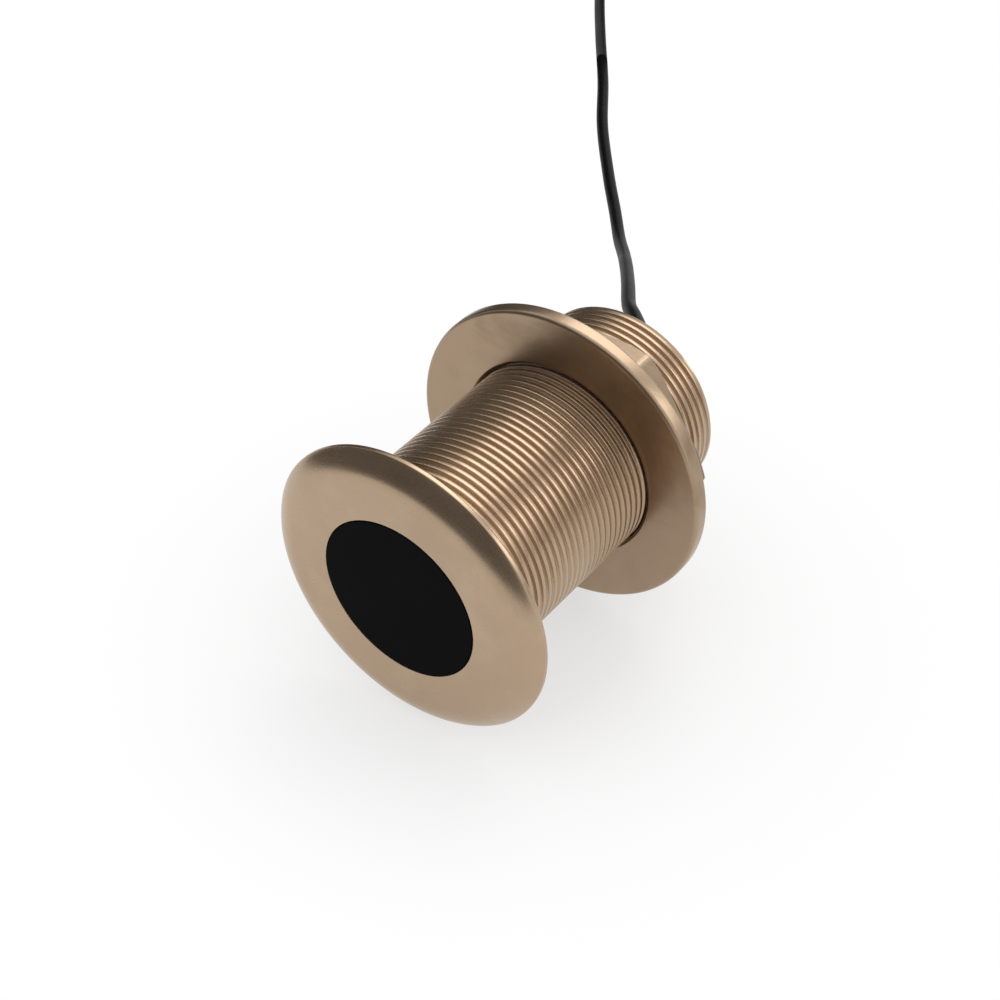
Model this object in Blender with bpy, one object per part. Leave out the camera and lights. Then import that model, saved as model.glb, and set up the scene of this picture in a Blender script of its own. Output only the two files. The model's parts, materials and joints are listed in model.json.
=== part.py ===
# A through-hull sonar transducer with its hull nut, its cable and the cable's connector.
# Metres, +Z up. The transducer lies on its side, on the rim of its flange and the rim of the nut.
# Its pieces are modelled about an axis that climbs from the acoustic face to the cable end, as it is
# fitted in a hull, and one empty lays that axis down along +Y.
from math import acos, atan2, ceil, cos, floor, inf, pi, radians, sin, sqrt, tau

import bmesh
import bpy
from mathutils import Vector

# Fits shared by all pieces
CLEARANCE = 0.0003
WELD_DISTANCE = 0.000001
HOLE_OVERRUN = 0.0016
ROUND_STEPS = 72
WINDOW_STEPS = 48
SMALL_STEPS = 28
FINE_STEPS = 16
CREASE_ANGLE = radians(30)

# Housing: a thin domed flange and the threaded stem, one bronze casting
FLANGE_RADIUS = 0.0372
FLANGE_FLAT_RADIUS = 0.0300
FLANGE_THICKNESS = 0.0050
RIM_SETBACK = 0.0036
RIM_LAND = 0.0006
RIM_ROUND = 0.0006
DOME_STEPS = 8
STEM_RADIUS = 0.0254
STEM_END = 0.0893
STEM_FILLET = 0.0008
THREAD_PITCH = 0.0254 / 12
THREAD_DEPTH = 0.0013
THREAD_SNAP = 0.00005
THREAD_STEPS = 36
STEM_BORE_RADIUS = 0.0192
BORE_CHAMFER = 0.0012
CHAMBER_WALL = 0.00335

# Acoustic window, moulded into the face and keyed into a groove
WINDOW_THICKNESS = 0.0034
WINDOW_KEY_DEPTH = 0.0011
WINDOW_KEY_START = 0.0012
WINDOW_KEY_WIDTH = 0.0012
WINDOW_EDGE_ROUND = 0.0003

# Sounding element in its isolating cup
CUP_WALL = 0.0020
CUP_FLOOR = 0.0020
ELEMENT_THICKNESS = 0.0098
ELEMENT_EDGE_BEVEL = 0.0004
PAD_THICKNESS = 0.0030
LEAD_RADIUS = 0.0006
HOT_LEAD_PLACE = (0.0040, -0.0045)
RETURN_LEAD_SIDEWAYS = -0.0030
RETURN_LEAD_INSET = 0.00515

# Terminal board and the tuning transformer on it
BOARD_SETBACK = 0.0060
BOARD_THICKNESS = 0.0016
CORE_RADIUS = 0.0090
CORE_POST_RADIUS = 0.0038
CORE_HOLE_RADIUS = 0.0017
CORE_HALF_HEIGHT = 0.0054
CORE_END_WALL = 0.0016
CORE_SKIRT = 0.0013
CORE_PLACE = (0.0045, 0.0035)
SCREW_RADIUS = 0.0014
SCREW_HEAD_RADIUS = 0.0027
SCREW_HEAD_HEIGHT = 0.0018
SCREW_SLOT_WIDTH = 0.0007
SCREW_SLOT_DEPTH = 0.0008
SCREW_END = 0.0008
CORE_NUT_ACROSS = 0.0055
CORE_NUT_HEIGHT = 0.0022
CAPACITOR_SIZE = (0.0075, 0.0035, 0.0065)
CAPACITOR_PLACE = (-0.0030, 0.0152)
CAPACITOR_EDGE_BEVEL = 0.0006

# Hull nut: a hexagon and a flange that stands out past its corners
NUT_PLACE = 0.0597
NUT_FLANGE_OVERHANG = 0.0067044
NUT_FLANGE_THICKNESS = 0.0040
NUT_HEIGHT = 0.0153
NUT_WALL = 0.003175
NUT_BORE_CHAMFER = 0.0007
NUT_EDGE_ROUND = 0.0012
NUT_EDGE_STEPS = 4
NUT_CORNER_CHAMFER = 0.0022
NUT_RIM_BEVEL = 0.0006

# Cable and the way it leaves the stem
CABLE_RADIUS = 0.0020
CABLE_OFFSET = 0.0080
CABLE_ANGLE = radians(146)
JACKET_START = 0.0703
FERRULE_LENGTH = 0.0055
FERRULE_WALL = 0.0009
POTTING_START = 0.0765
POTTING_RECESS = 0.0025
RELIEF_LENGTH = 0.0125
RELIEF_BASE_RADIUS = 0.0050
RELIEF_TIP_RADIUS = 0.0033
RELIEF_FOOT_RADIUS = 0.0068
RELIEF_FOOT_HEIGHT = 0.0016
CONDUCTOR_RADIUS = 0.0006
CONDUCTOR_SPREAD = 0.00095
CONDUCTOR_PAD_RADIUS = 0.0152
CONDUCTOR_PAD_PITCH = radians(17)
CONDUCTOR_STEP = 0.0028
CONDUCTOR_STRAIGHT_SHARE = 0.25
BEND_SIDES = 2
CABLE_STEP = 0.0080

# Route of the loose cable, from the relief's tip, before it reaches the coil
CABLE_ROUTE = (
    (-0.0077, 0.1049, 0.0455),
    (-0.0103, 0.1107, 0.0443),
    (-0.0143, 0.1160, 0.0421),
    (-0.0198, 0.1222, 0.0398),
    (-0.0259, 0.1296, 0.0363),
    (-0.0381, 0.1480, 0.0283),
    (-0.0509, 0.1670, 0.0192),
    (-0.0639, 0.1855, 0.0102),
    (-0.0763, 0.2018, 0.0035),
    (-0.0882, 0.2170, 0.0020),
    (-0.1030, 0.2350, 0.0020),
    (-0.1240, 0.2620, 0.0020),
    (-0.1430, 0.2900, 0.0020),
    (-0.1640, 0.3190, 0.0020),
    (-0.1840, 0.3475, 0.0020),
)

# Coil of the spare cable, on two straps
COIL_MIDDLE_RADIUS = 0.0330
COIL_COLUMNS = 7
COIL_ROWS = 6
COIL_CENTRE = (-0.1788, 0.4208)
COIL_CORNER = 0.0020
COIL_SIDES = 56
STRAP_THICKNESS = 0.0010
STRAP_WIDTH = 0.0120
STRAP_CORNER = 0.0018
STRAP_STEPS = 4
STRAP_ANGLES = (radians(-35), radians(145))
TAIL_LEAVES_AT = radians(90)
TAIL_ROUTE = (
    (0.0320, 0.0195),
    (0.0450, 0.0150),
    (0.0580, 0.0110),
)

# Round cable connector
CONNECTOR_START = 0.0700
CONNECTOR_BOOT_LENGTH = 0.0200
CONNECTOR_BOOT_TIP_RADIUS = 0.0030
CONNECTOR_BOOT_RADIUS = 0.0060
BOOT_GROOVES = 4
BOOT_GROOVE_DEPTH = 0.0007
CONNECTOR_BODY_RADIUS = 0.0068
CONNECTOR_COLLAR_RADIUS = 0.0085
CONNECTOR_COLLAR_START = 0.0035
CONNECTOR_COLLAR_LENGTH = 0.0020
CONNECTOR_BODY_LENGTH = 0.0185
CONNECTOR_SOCKET_RADIUS = 0.0054
CONNECTOR_SOCKET_DEPTH = 0.0100
CONNECTOR_EDGE = 0.0005
COUPLING_RADIUS = 0.0095
COUPLING_WALL_STEP = 0.0006
COUPLING_LENGTH = 0.0120
COUPLING_RIBS = 12
COUPLING_RIB_SHARE = 0.5
COUPLING_FLANK_SHARE = 0.125
INSERT_THICKNESS = 0.0035
PIN_COUNT = 5
PIN_CIRCLE_RADIUS = 0.0030
PIN_RADIUS = 0.0005
PIN_LENGTH = 0.0058

# Finishes: base colour, roughness, metallic
FINISHES = {
    "bronze": ((0.46, 0.31, 0.20, 1.0), 0.38, 1.0),
    "window_urethane": ((0.006, 0.007, 0.009, 1.0), 0.28, 0.0),
    "cork": ((0.40, 0.24, 0.12, 1.0), 0.90, 0.0),
    "ceramic": ((0.72, 0.66, 0.52, 1.0), 0.45, 0.0),
    "board": ((0.05, 0.22, 0.10, 1.0), 0.50, 0.0),
    "ferrite": ((0.06, 0.06, 0.065, 1.0), 0.55, 0.0),
    "enamelled_copper": ((0.55, 0.20, 0.07, 1.0), 0.35, 1.0),
    "brass": ((0.62, 0.45, 0.18, 1.0), 0.32, 1.0),
    "capacitor_red": ((0.45, 0.04, 0.03, 1.0), 0.40, 0.0),
    "wire_red": ((0.50, 0.03, 0.02, 1.0), 0.45, 0.0),
    "wire_black": ((0.02, 0.02, 0.02, 1.0), 0.45, 0.0),
    "tinned_copper": ((0.70, 0.68, 0.64, 1.0), 0.35, 1.0),
    "potting_epoxy": ((0.02, 0.02, 0.022, 1.0), 0.40, 0.0),
    "cable_rubber": ((0.015, 0.015, 0.016, 1.0), 0.50, 0.0),
    "strap_fabric": ((0.03, 0.03, 0.032, 1.0), 0.85, 0.0),
    "connector_plastic": ((0.022, 0.022, 0.024, 1.0), 0.42, 0.0),
    "gold_contact": ((0.83, 0.62, 0.25, 1.0), 0.25, 1.0),
}

# Places along the transducer's axis, worked out from the sizes above
ELEMENT_START = WINDOW_THICKNESS + CLEARANCE
PAD_START = ELEMENT_START + ELEMENT_THICKNESS + CLEARANCE
CUP_FLOOR_START = PAD_START + PAD_THICKNESS + CLEARANCE
CUP_END = CUP_FLOOR_START + CUP_FLOOR
CHAMBER_DEPTH = CUP_END + CLEARANCE
CHAMBER_RADIUS = STEM_RADIUS - THREAD_DEPTH - CHAMBER_WALL
CUP_RADIUS = CHAMBER_RADIUS - CLEARANCE
ELEMENT_RADIUS = CUP_RADIUS - CUP_WALL - CLEARANCE
RETURN_LEAD_PLACE = (RETURN_LEAD_SIDEWAYS, RETURN_LEAD_INSET - ELEMENT_RADIUS)
BOARD_START = CHAMBER_DEPTH + BOARD_SETBACK
BOARD_END = BOARD_START + BOARD_THICKNESS
BOARD_RADIUS = STEM_BORE_RADIUS - CLEARANCE
CORE_START = BOARD_END + CLEARANCE
CORE_SPLIT = CORE_START + CORE_HALF_HEIGHT
CORE_END = CORE_SPLIT + CLEARANCE + CORE_HALF_HEIGHT
POTTING_END = STEM_END - POTTING_RECESS
RELIEF_START = POTTING_END + CLEARANCE
RELIEF_TIP = RELIEF_START + RELIEF_LENGTH
CABLE_SEAT_RADIUS = CABLE_RADIUS + CLEARANCE
CABLE_PLACE = (CABLE_OFFSET * cos(CABLE_ANGLE), -CABLE_OFFSET * sin(CABLE_ANGLE))
NUT_MOUTH_RADIUS = STEM_RADIUS + CLEARANCE + NUT_BORE_CHAMFER
NUT_END = NUT_PLACE + NUT_HEIGHT
NUT_ACROSS_FLATS = (STEM_RADIUS + NUT_WALL) * 2
NUT_CORNER_RADIUS = NUT_ACROSS_FLATS / sqrt(3)
NUT_FLANGE_RADIUS = NUT_CORNER_RADIUS + NUT_FLANGE_OVERHANG

# How the two rims meet the ground: the first turned corner of each one touches it
FACET_SHARE = cos(pi / ROUND_STEPS)
RIM_TOUCH = (RIM_SETBACK, FLANGE_RADIUS * FACET_SHARE)
NUT_TOUCH = (NUT_PLACE + NUT_EDGE_ROUND, NUT_FLANGE_RADIUS * FACET_SHARE)
LEAN = atan2(NUT_TOUCH[1] - RIM_TOUCH[1], NUT_TOUCH[0] - RIM_TOUCH[0])
AXIS_HEIGHT = RIM_TOUCH[1] * cos(LEAN) - RIM_TOUCH[0] * sin(LEAN)


def clearScene():
    for item in list(bpy.data.objects):
        bpy.data.objects.remove(item)


def makeFinishes():
    made = {}
    for name, (colour, roughness, metallic) in FINISHES.items():
        finish = bpy.data.materials.new(name)
        finish.use_nodes = True
        shader = finish.node_tree.nodes["Principled BSDF"]
        shader.inputs["Base Color"].default_value = colour
        shader.inputs["Roughness"].default_value = roughness
        shader.inputs["Metallic"].default_value = metallic
        made[name] = finish
    return made


def addEmpty(name, parent=None, location=(0, 0, 0), rotation=(0, 0, 0)):
    empty = bpy.data.objects.new(name, None)
    bpy.context.collection.objects.link(empty)
    empty.parent = parent
    empty.location = location
    empty.rotation_euler = rotation
    return empty


def addObject(name, data, finish, parent, place=(0, 0, 0)):
    item = bpy.data.objects.new(name, data)
    bpy.context.collection.objects.link(item)
    item.parent = parent
    item.location = place
    if finish is not None:
        data.materials.append(finish)
    return item


def finishMesh(name, bm):
    bmesh.ops.remove_doubles(bm, verts=bm.verts, dist=WELD_DISTANCE)
    bmesh.ops.recalc_face_normals(bm, faces=bm.faces)
    mesh = bpy.data.meshes.new(name)
    bm.to_mesh(mesh)
    bm.free()
    mesh.shade_smooth()
    mesh.set_sharp_from_angle(angle=CREASE_ANGLE)
    return mesh


# A section of (radius, height) points, spun about the vertical; a facet faces +Y
def spinSection(bm, section, steps=ROUND_STEPS, closed=True):
    start = pi / steps
    corners = [bm.verts.new((radius * cos(start), radius * sin(start), height)) for radius, height in section]
    edges = []
    for index in range(len(corners) if closed else len(corners) - 1):
        following = (index + 1) % len(corners)
        if section[index][0] > 0 or section[following][0] > 0:
            edges.append(bm.edges.new((corners[index], corners[following])))
    bmesh.ops.spin(bm, geom=corners + edges, cent=(0, 0, 0), axis=(0, 0, 1), angle=tau, steps=steps)


def turnedMesh(name, section, steps=ROUND_STEPS):
    bm = bmesh.new()
    spinSection(bm, section, steps)
    return finishMesh(name, bm)


# A screw thread between two heights, run out to a circle of one radius at each end. Every thread here
# is on the same helix, so that a bore and a stem mate wherever they stand.
def addThread(bm, rootRadius, crestRadius, endRadius, start, end):
    first, last = floor(start / THREAD_PITCH) - 1, ceil(end / THREAD_PITCH) + 1
    columns = []
    for step in range(THREAD_STEPS + 1):
        turn = pi / THREAD_STEPS + tau * step / THREAD_STEPS
        column = []
        for half in range(2 * first, 2 * last + 1):
            height = THREAD_PITCH * (half / 2 + step / THREAD_STEPS)
            if height < start + THREAD_SNAP:
                height = start
            if height > end - THREAD_SNAP:
                height = end
            reach = min(height - start, end - height)
            radius = crestRadius if half % 2 else rootRadius
            radius = endRadius + max(-reach, min(reach, radius - endRadius))
            column.append(bm.verts.new((radius * cos(turn), radius * sin(turn), height)))
        columns.append(column)
    for here, there in zip(columns, columns[1:]):
        for index in range(len(here) - 1):
            bm.faces.new((here[index], there[index], there[index + 1], here[index + 1]))


# Closes the flat ring between the two open circles at one height, corner by corner round the axis
def closeRing(bm, height):
    corners = {corner for edge in bm.edges if edge.is_boundary for corner in edge.verts}
    corners = [corner for corner in corners if abs(corner.co.z - height) < WELD_DISTANCE]
    radii = [corner.co.xy.length for corner in corners]
    middle = (min(radii) + max(radii)) / 2
    corners.sort(key=lambda corner: atan2(corner.co.y, corner.co.x))
    circles = [
        [corner for corner in corners if corner.co.xy.length < middle],
        [corner for corner in corners if corner.co.xy.length > middle],
    ]
    done = [0, 0]
    while any(count < len(circle) for count, circle in zip(done, circles)):
        following = []
        for count, circle in zip(done, circles):
            corner = circle[(count + 1) % len(circle)]
            turn = atan2(corner.co.y, corner.co.x) + tau * ((count + 1) // len(circle))
            following.append(turn if count < len(circle) else inf)
        side = following.index(min(following))
        inner, outer = (circle[count % len(circle)] for count, circle in zip(done, circles))
        done[side] += 1
        bm.faces.new((inner, outer, circles[side][done[side] % len(circles[side])]))


# A piece with one thread on its outside or in its bore, and a turned section for the rest
def threadedMesh(name, section, rootRadius, crestRadius, endRadius):
    bm = bmesh.new()
    spinSection(bm, section, closed=False)
    ends = sorted((section[0][1], section[-1][1]))
    addThread(bm, rootRadius, crestRadius, endRadius, *ends)
    bmesh.ops.remove_doubles(bm, verts=bm.verts, dist=WELD_DISTANCE)
    for height in ends:
        closeRing(bm, height)
    return finishMesh(name, bm)


def addTurned(name, section, finish, parent, place=(0, 0, 0), steps=ROUND_STEPS):
    return addObject(name, turnedMesh(name, section, steps), finish, parent, place)


# A flat outline of (x, y) points raised from one height to another
def prismMesh(name, outline, bottom, top):
    bm = bmesh.new()
    corners = [bm.verts.new((x, y, bottom)) for x, y in outline]
    base = bm.faces.new(corners)
    raised = bmesh.ops.extrude_face_region(bm, geom=[base])["geom"]
    moved = [item for item in raised if isinstance(item, bmesh.types.BMVert)]
    bmesh.ops.translate(bm, verts=moved, vec=(0, 0, top - bottom))
    return finishMesh(name, bm)


def circleOutline(radius, steps, centre=(0, 0), start=0.0):
    turns = [start + tau * step / steps for step in range(steps)]
    return [(centre[0] + radius * cos(turn), centre[1] + radius * sin(turn)) for turn in turns]


def cutWith(target, cutter, operation="DIFFERENCE"):
    cutter.hide_render = True
    cutter.display_type = "WIRE"
    cut = target.modifiers.new(cutter.name, "BOOLEAN")
    cut.operation = operation
    cut.solver = "EXACT"
    cut.object = cutter


# A straight round hole along the axis through one piece
def drill(target, place, radius, bottom, top, steps=FINE_STEPS):
    name = f"{target.name}_hole_{len(target.modifiers)}"
    outline = circleOutline(radius, steps, place)
    mesh = prismMesh(name, outline, bottom - HOLE_OVERRUN, top + HOLE_OVERRUN)
    cutWith(target, addObject(name, mesh, None, target.parent))


def bevelEdges(item, width, segments=2):
    bevel = item.modifiers.new("edge_round", "BEVEL")
    bevel.width = width
    bevel.segments = segments
    bevel.limit_method = "ANGLE"
    bevel.angle_limit = CREASE_ANGLE


# A quarter of an ellipse in (radius, height) points, both ends included
def quarterRound(centre, reach, start, steps):
    turns = [start + pi / 2 * step / steps for step in range(steps + 1)]
    return [(centre[0] + reach[0] * cos(turn), centre[1] + reach[1] * sin(turn)) for turn in turns]


# Points every `step` along a smooth curve through the route, both ends kept
def smoothLine(route, step):
    points = [Vector(point) for point in route]
    ahead = [points[0] * 2 - points[1]] + points + [points[-1] * 2 - points[-2]]
    dense = []
    for index in range(1, len(ahead) - 2):
        before, here, there, after = ahead[index - 1:index + 3]
        for share in (part / FINE_STEPS for part in range(FINE_STEPS)):
            bend = here * 2 + (there - before) * share
            bend += (before * 2 - here * 5 + there * 4 - after) * share ** 2
            bend += (here * 3 - before - there * 3 + after) * share ** 3
            dense.append(bend / 2)
    dense.append(points[-1])
    travelled = [0.0]
    for first, second in zip(dense, dense[1:]):
        travelled.append(travelled[-1] + (second - first).length)
    count = max(2, ceil(travelled[-1] / step))
    line, index = [], 0
    for part in range(count + 1):
        wanted = travelled[-1] * part / count
        while index < len(dense) - 2 and travelled[index + 1] < wanted:
            index += 1
        share = (wanted - travelled[index]) / (travelled[index + 1] - travelled[index])
        line.append(dense[index].lerp(dense[index + 1], share))
    return line


def addTube(name, line, radius, finish, parent):
    curve = bpy.data.curves.new(name, "CURVE")
    curve.dimensions = "3D"
    curve.bevel_depth = radius
    curve.bevel_resolution = BEND_SIDES
    curve.use_fill_caps = True
    spline = curve.splines.new("POLY")
    spline.points.add(len(line) - 1)
    for point, place in zip(spline.points, line):
        point.co = (*place, 1.0)
    return addObject(name, curve, finish, parent)


# Housing: face, dome and rim of the flange, the hull seat, the stem, and its bore from the cable end
# The section runs from the stem's end down the bore, over the face and round the rim to the stem's fillet
def makeHousing(finish, parent):
    domeReach = (FLANGE_RADIUS - FLANGE_FLAT_RADIUS, RIM_SETBACK)
    dome = quarterRound((FLANGE_FLAT_RADIUS, RIM_SETBACK), domeReach, -pi / 2, DOME_STEPS)
    rootRadius = STEM_RADIUS - THREAD_DEPTH
    chamfer = min(BORE_CHAMFER, (rootRadius - STEM_BORE_RADIUS) / 2)
    section = [
        (STEM_BORE_RADIUS + chamfer, STEM_END),
        (STEM_BORE_RADIUS, STEM_END - chamfer),
        (STEM_BORE_RADIUS, CHAMBER_DEPTH),
        (CHAMBER_RADIUS, CHAMBER_DEPTH),
        (CHAMBER_RADIUS, WINDOW_KEY_START + WINDOW_KEY_WIDTH + CLEARANCE),
        (CHAMBER_RADIUS + WINDOW_KEY_DEPTH, WINDOW_KEY_START + WINDOW_KEY_WIDTH + CLEARANCE),
        (CHAMBER_RADIUS + WINDOW_KEY_DEPTH, WINDOW_KEY_START - CLEARANCE),
        (CHAMBER_RADIUS, WINDOW_KEY_START - CLEARANCE),
        (CHAMBER_RADIUS, 0.0),
    ]
    section += dome
    section += [
        (FLANGE_RADIUS, RIM_SETBACK + RIM_LAND),
        (FLANGE_RADIUS - RIM_ROUND, FLANGE_THICKNESS),
        (STEM_RADIUS + CLEARANCE, FLANGE_THICKNESS),
        (rootRadius + CLEARANCE, FLANGE_THICKNESS + STEM_FILLET),
    ]
    mesh = threadedMesh("housing", section, rootRadius, STEM_RADIUS, rootRadius)
    return addObject("housing", mesh, finish, parent)


def makeWindow(finish, parent):
    radius = CHAMBER_RADIUS - CLEARANCE
    section = [
        (0.0, 0.0),
        (radius - WINDOW_EDGE_ROUND, 0.0),
        (radius, WINDOW_EDGE_ROUND),
        (radius, WINDOW_KEY_START),
        (radius + WINDOW_KEY_DEPTH, WINDOW_KEY_START),
        (radius + WINDOW_KEY_DEPTH, WINDOW_KEY_START + WINDOW_KEY_WIDTH),
        (radius, WINDOW_KEY_START + WINDOW_KEY_WIDTH),
        (radius, WINDOW_THICKNESS),
        (0.0, WINDOW_THICKNESS),
    ]
    return addTurned("acoustic_window", section, finish, parent, steps=WINDOW_STEPS)


# The isolating cup, the disc that rings, the pad behind it and its two leads
def makeElement(finishes, parent):
    cup = addTurned(
        "isolator_cup",
        [
            (0.0, CUP_FLOOR_START),
            (CUP_RADIUS - CUP_WALL, CUP_FLOOR_START),
            (CUP_RADIUS - CUP_WALL, ELEMENT_START),
            (CUP_RADIUS, ELEMENT_START),
            (CUP_RADIUS, CUP_END),
            (0.0, CUP_END),
        ],
        finishes["cork"],
        parent,
        steps=WINDOW_STEPS,
    )
    disc = [
        (0.0, ELEMENT_START),
        (ELEMENT_RADIUS - ELEMENT_EDGE_BEVEL, ELEMENT_START),
        (ELEMENT_RADIUS, ELEMENT_START + ELEMENT_EDGE_BEVEL),
        (ELEMENT_RADIUS, ELEMENT_START + ELEMENT_THICKNESS - ELEMENT_EDGE_BEVEL),
        (ELEMENT_RADIUS - ELEMENT_EDGE_BEVEL, ELEMENT_START + ELEMENT_THICKNESS),
        (0.0, ELEMENT_START + ELEMENT_THICKNESS),
    ]
    addTurned("ceramic_element", disc, finishes["ceramic"], parent, steps=WINDOW_STEPS)
    pad = addTurned(
        "backing_pad",
        [
            (0.0, PAD_START),
            (ELEMENT_RADIUS, PAD_START),
            (ELEMENT_RADIUS, PAD_START + PAD_THICKNESS),
            (0.0, PAD_START + PAD_THICKNESS),
        ],
        finishes["cork"],
        parent,
        steps=WINDOW_STEPS,
    )
    leads = (
        ("element_lead_hot", HOT_LEAD_PLACE, finishes["wire_red"]),
        ("element_lead_return", RETURN_LEAD_PLACE, finishes["wire_black"]),
    )
    for name, place, finish in leads:
        drill(pad, place, LEAD_RADIUS + CLEARANCE, PAD_START, PAD_START + PAD_THICKNESS)
        drill(cup, place, LEAD_RADIUS + CLEARANCE, CUP_FLOOR_START, CUP_END)
        outline = circleOutline(LEAD_RADIUS, FINE_STEPS // 2, place)
        mesh = prismMesh(name, outline, PAD_START, BOARD_START - CLEARANCE)
        addObject(name, mesh, finish, parent)


# One half of the pot core: an end wall, a skirt and a centre post, opening upwards
def coreHalfSection():
    return [
        (CORE_HOLE_RADIUS, 0.0),
        (CORE_RADIUS, 0.0),
        (CORE_RADIUS, CORE_HALF_HEIGHT),
        (CORE_RADIUS - CORE_SKIRT, CORE_HALF_HEIGHT),
        (CORE_RADIUS - CORE_SKIRT, CORE_END_WALL),
        (CORE_POST_RADIUS, CORE_END_WALL),
        (CORE_POST_RADIUS, CORE_HALF_HEIGHT),
        (CORE_HOLE_RADIUS, CORE_HALF_HEIGHT),
    ]


def makeBoard(finish, parent):
    section = [(0.0, BOARD_START), (BOARD_RADIUS, BOARD_START), (BOARD_RADIUS, BOARD_END), (0.0, BOARD_END)]
    board = addTurned("terminal_board", section, finish, parent, steps=SMALL_STEPS)
    drill(board, CORE_PLACE, CORE_HOLE_RADIUS, BOARD_START, BOARD_END)
    return board


# The tuning transformer: two core halves about one winding, held to the board by a screw and its nut
def makeTransformer(finishes, parent):
    seat = (*CORE_PLACE, CORE_START)
    lid = (*CORE_PLACE, CORE_END)
    half = coreHalfSection()
    turnedOver = [(radius, -height) for radius, height in half]
    addTurned("core_front", half, finishes["ferrite"], parent, seat, SMALL_STEPS)
    addTurned("core_rear", turnedOver, finishes["ferrite"], parent, lid, SMALL_STEPS)
    bottom = CORE_END_WALL + CLEARANCE
    top = CORE_HALF_HEIGHT * 2 + CLEARANCE - bottom
    inner = CORE_POST_RADIUS + CLEARANCE
    outer = CORE_RADIUS - CORE_SKIRT - CLEARANCE
    winding = [(inner, bottom), (outer, bottom), (outer, top), (inner, top)]
    addTurned("core_winding", winding, finishes["enamelled_copper"], parent, seat, SMALL_STEPS)
    headSeat = CORE_END + CLEARANCE
    shankEnd = BOARD_START - CLEARANCE - CORE_NUT_HEIGHT - SCREW_END
    screw = addTurned(
        "core_screw",
        [
            (0.0, shankEnd),
            (SCREW_RADIUS, shankEnd),
            (SCREW_RADIUS, headSeat),
            (SCREW_HEAD_RADIUS, headSeat),
            (SCREW_HEAD_RADIUS, headSeat + SCREW_HEAD_HEIGHT),
            (0.0, headSeat + SCREW_HEAD_HEIGHT),
        ],
        finishes["brass"],
        parent,
        (*CORE_PLACE, 0.0),
        FINE_STEPS,
    )
    reach = SCREW_HEAD_RADIUS + SCREW_SLOT_WIDTH
    halfSlot = SCREW_SLOT_WIDTH / 2
    slot = [(-reach, -halfSlot), (reach, -halfSlot), (reach, halfSlot), (-reach, halfSlot)]
    slotBottom = headSeat + SCREW_HEAD_HEIGHT - SCREW_SLOT_DEPTH
    slotMesh = prismMesh("screw_slot", slot, slotBottom, headSeat + SCREW_HEAD_HEIGHT * 2)
    cutWith(screw, addObject("screw_slot", slotMesh, None, parent, (*CORE_PLACE, 0.0)))
    nutTop = BOARD_START - CLEARANCE
    hexagon = circleOutline(CORE_NUT_ACROSS / sqrt(3), 6, CORE_PLACE)
    nutMesh = prismMesh("core_nut", hexagon, nutTop - CORE_NUT_HEIGHT, nutTop)
    nut = addObject("core_nut", nutMesh, finishes["brass"], parent)
    drill(nut, CORE_PLACE, SCREW_RADIUS + CLEARANCE, nutTop - CORE_NUT_HEIGHT, nutTop)


def makeCapacitor(finish, parent):
    length, depth, height = CAPACITOR_SIZE
    x, y = CAPACITOR_PLACE
    outline = [(x - length / 2, -y - depth / 2), (x + length / 2, -y - depth / 2)]
    outline += [(x + length / 2, -y + depth / 2), (x - length / 2, -y + depth / 2)]
    mesh = prismMesh("tuning_capacitor", outline, CORE_START, CORE_START + height)
    capacitor = addObject("tuning_capacitor", mesh, finish, parent)
    bevelEdges(capacitor, CAPACITOR_EDGE_BEVEL)


# The three conductors fan out from the stripped jacket to their pads on the board
def makeConductors(finishes, parent):
    kinds = (
        ("conductor_hot", finishes["wire_red"]),
        ("conductor_return", finishes["wire_black"]),
        ("shield_drain", finishes["tinned_copper"]),
    )
    padHeight = BOARD_END + CLEARANCE
    stripped = JACKET_START - CLEARANCE
    climb = (stripped - padHeight) * CONDUCTOR_STRAIGHT_SHARE
    for index, (name, finish) in enumerate(kinds):
        turn = -CABLE_ANGLE + tau * index / len(kinds)
        acrossX, acrossY = CONDUCTOR_SPREAD * cos(turn), CONDUCTOR_SPREAD * sin(turn)
        gathered = (CABLE_PLACE[0] + acrossX, CABLE_PLACE[1] + acrossY)
        padTurn = -CABLE_ANGLE + CONDUCTOR_PAD_PITCH * ((index + 1) % len(kinds) - 1)
        pad = (CONDUCTOR_PAD_RADIUS * cos(padTurn), CONDUCTOR_PAD_RADIUS * sin(padTurn))
        route = [(*gathered, stripped), (*gathered, stripped - climb)]
        route += [(*pad, padHeight + climb), (*pad, padHeight)]
        addTube(name, smoothLine(route, CONDUCTOR_STEP), CONDUCTOR_RADIUS, finish, parent)


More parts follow.
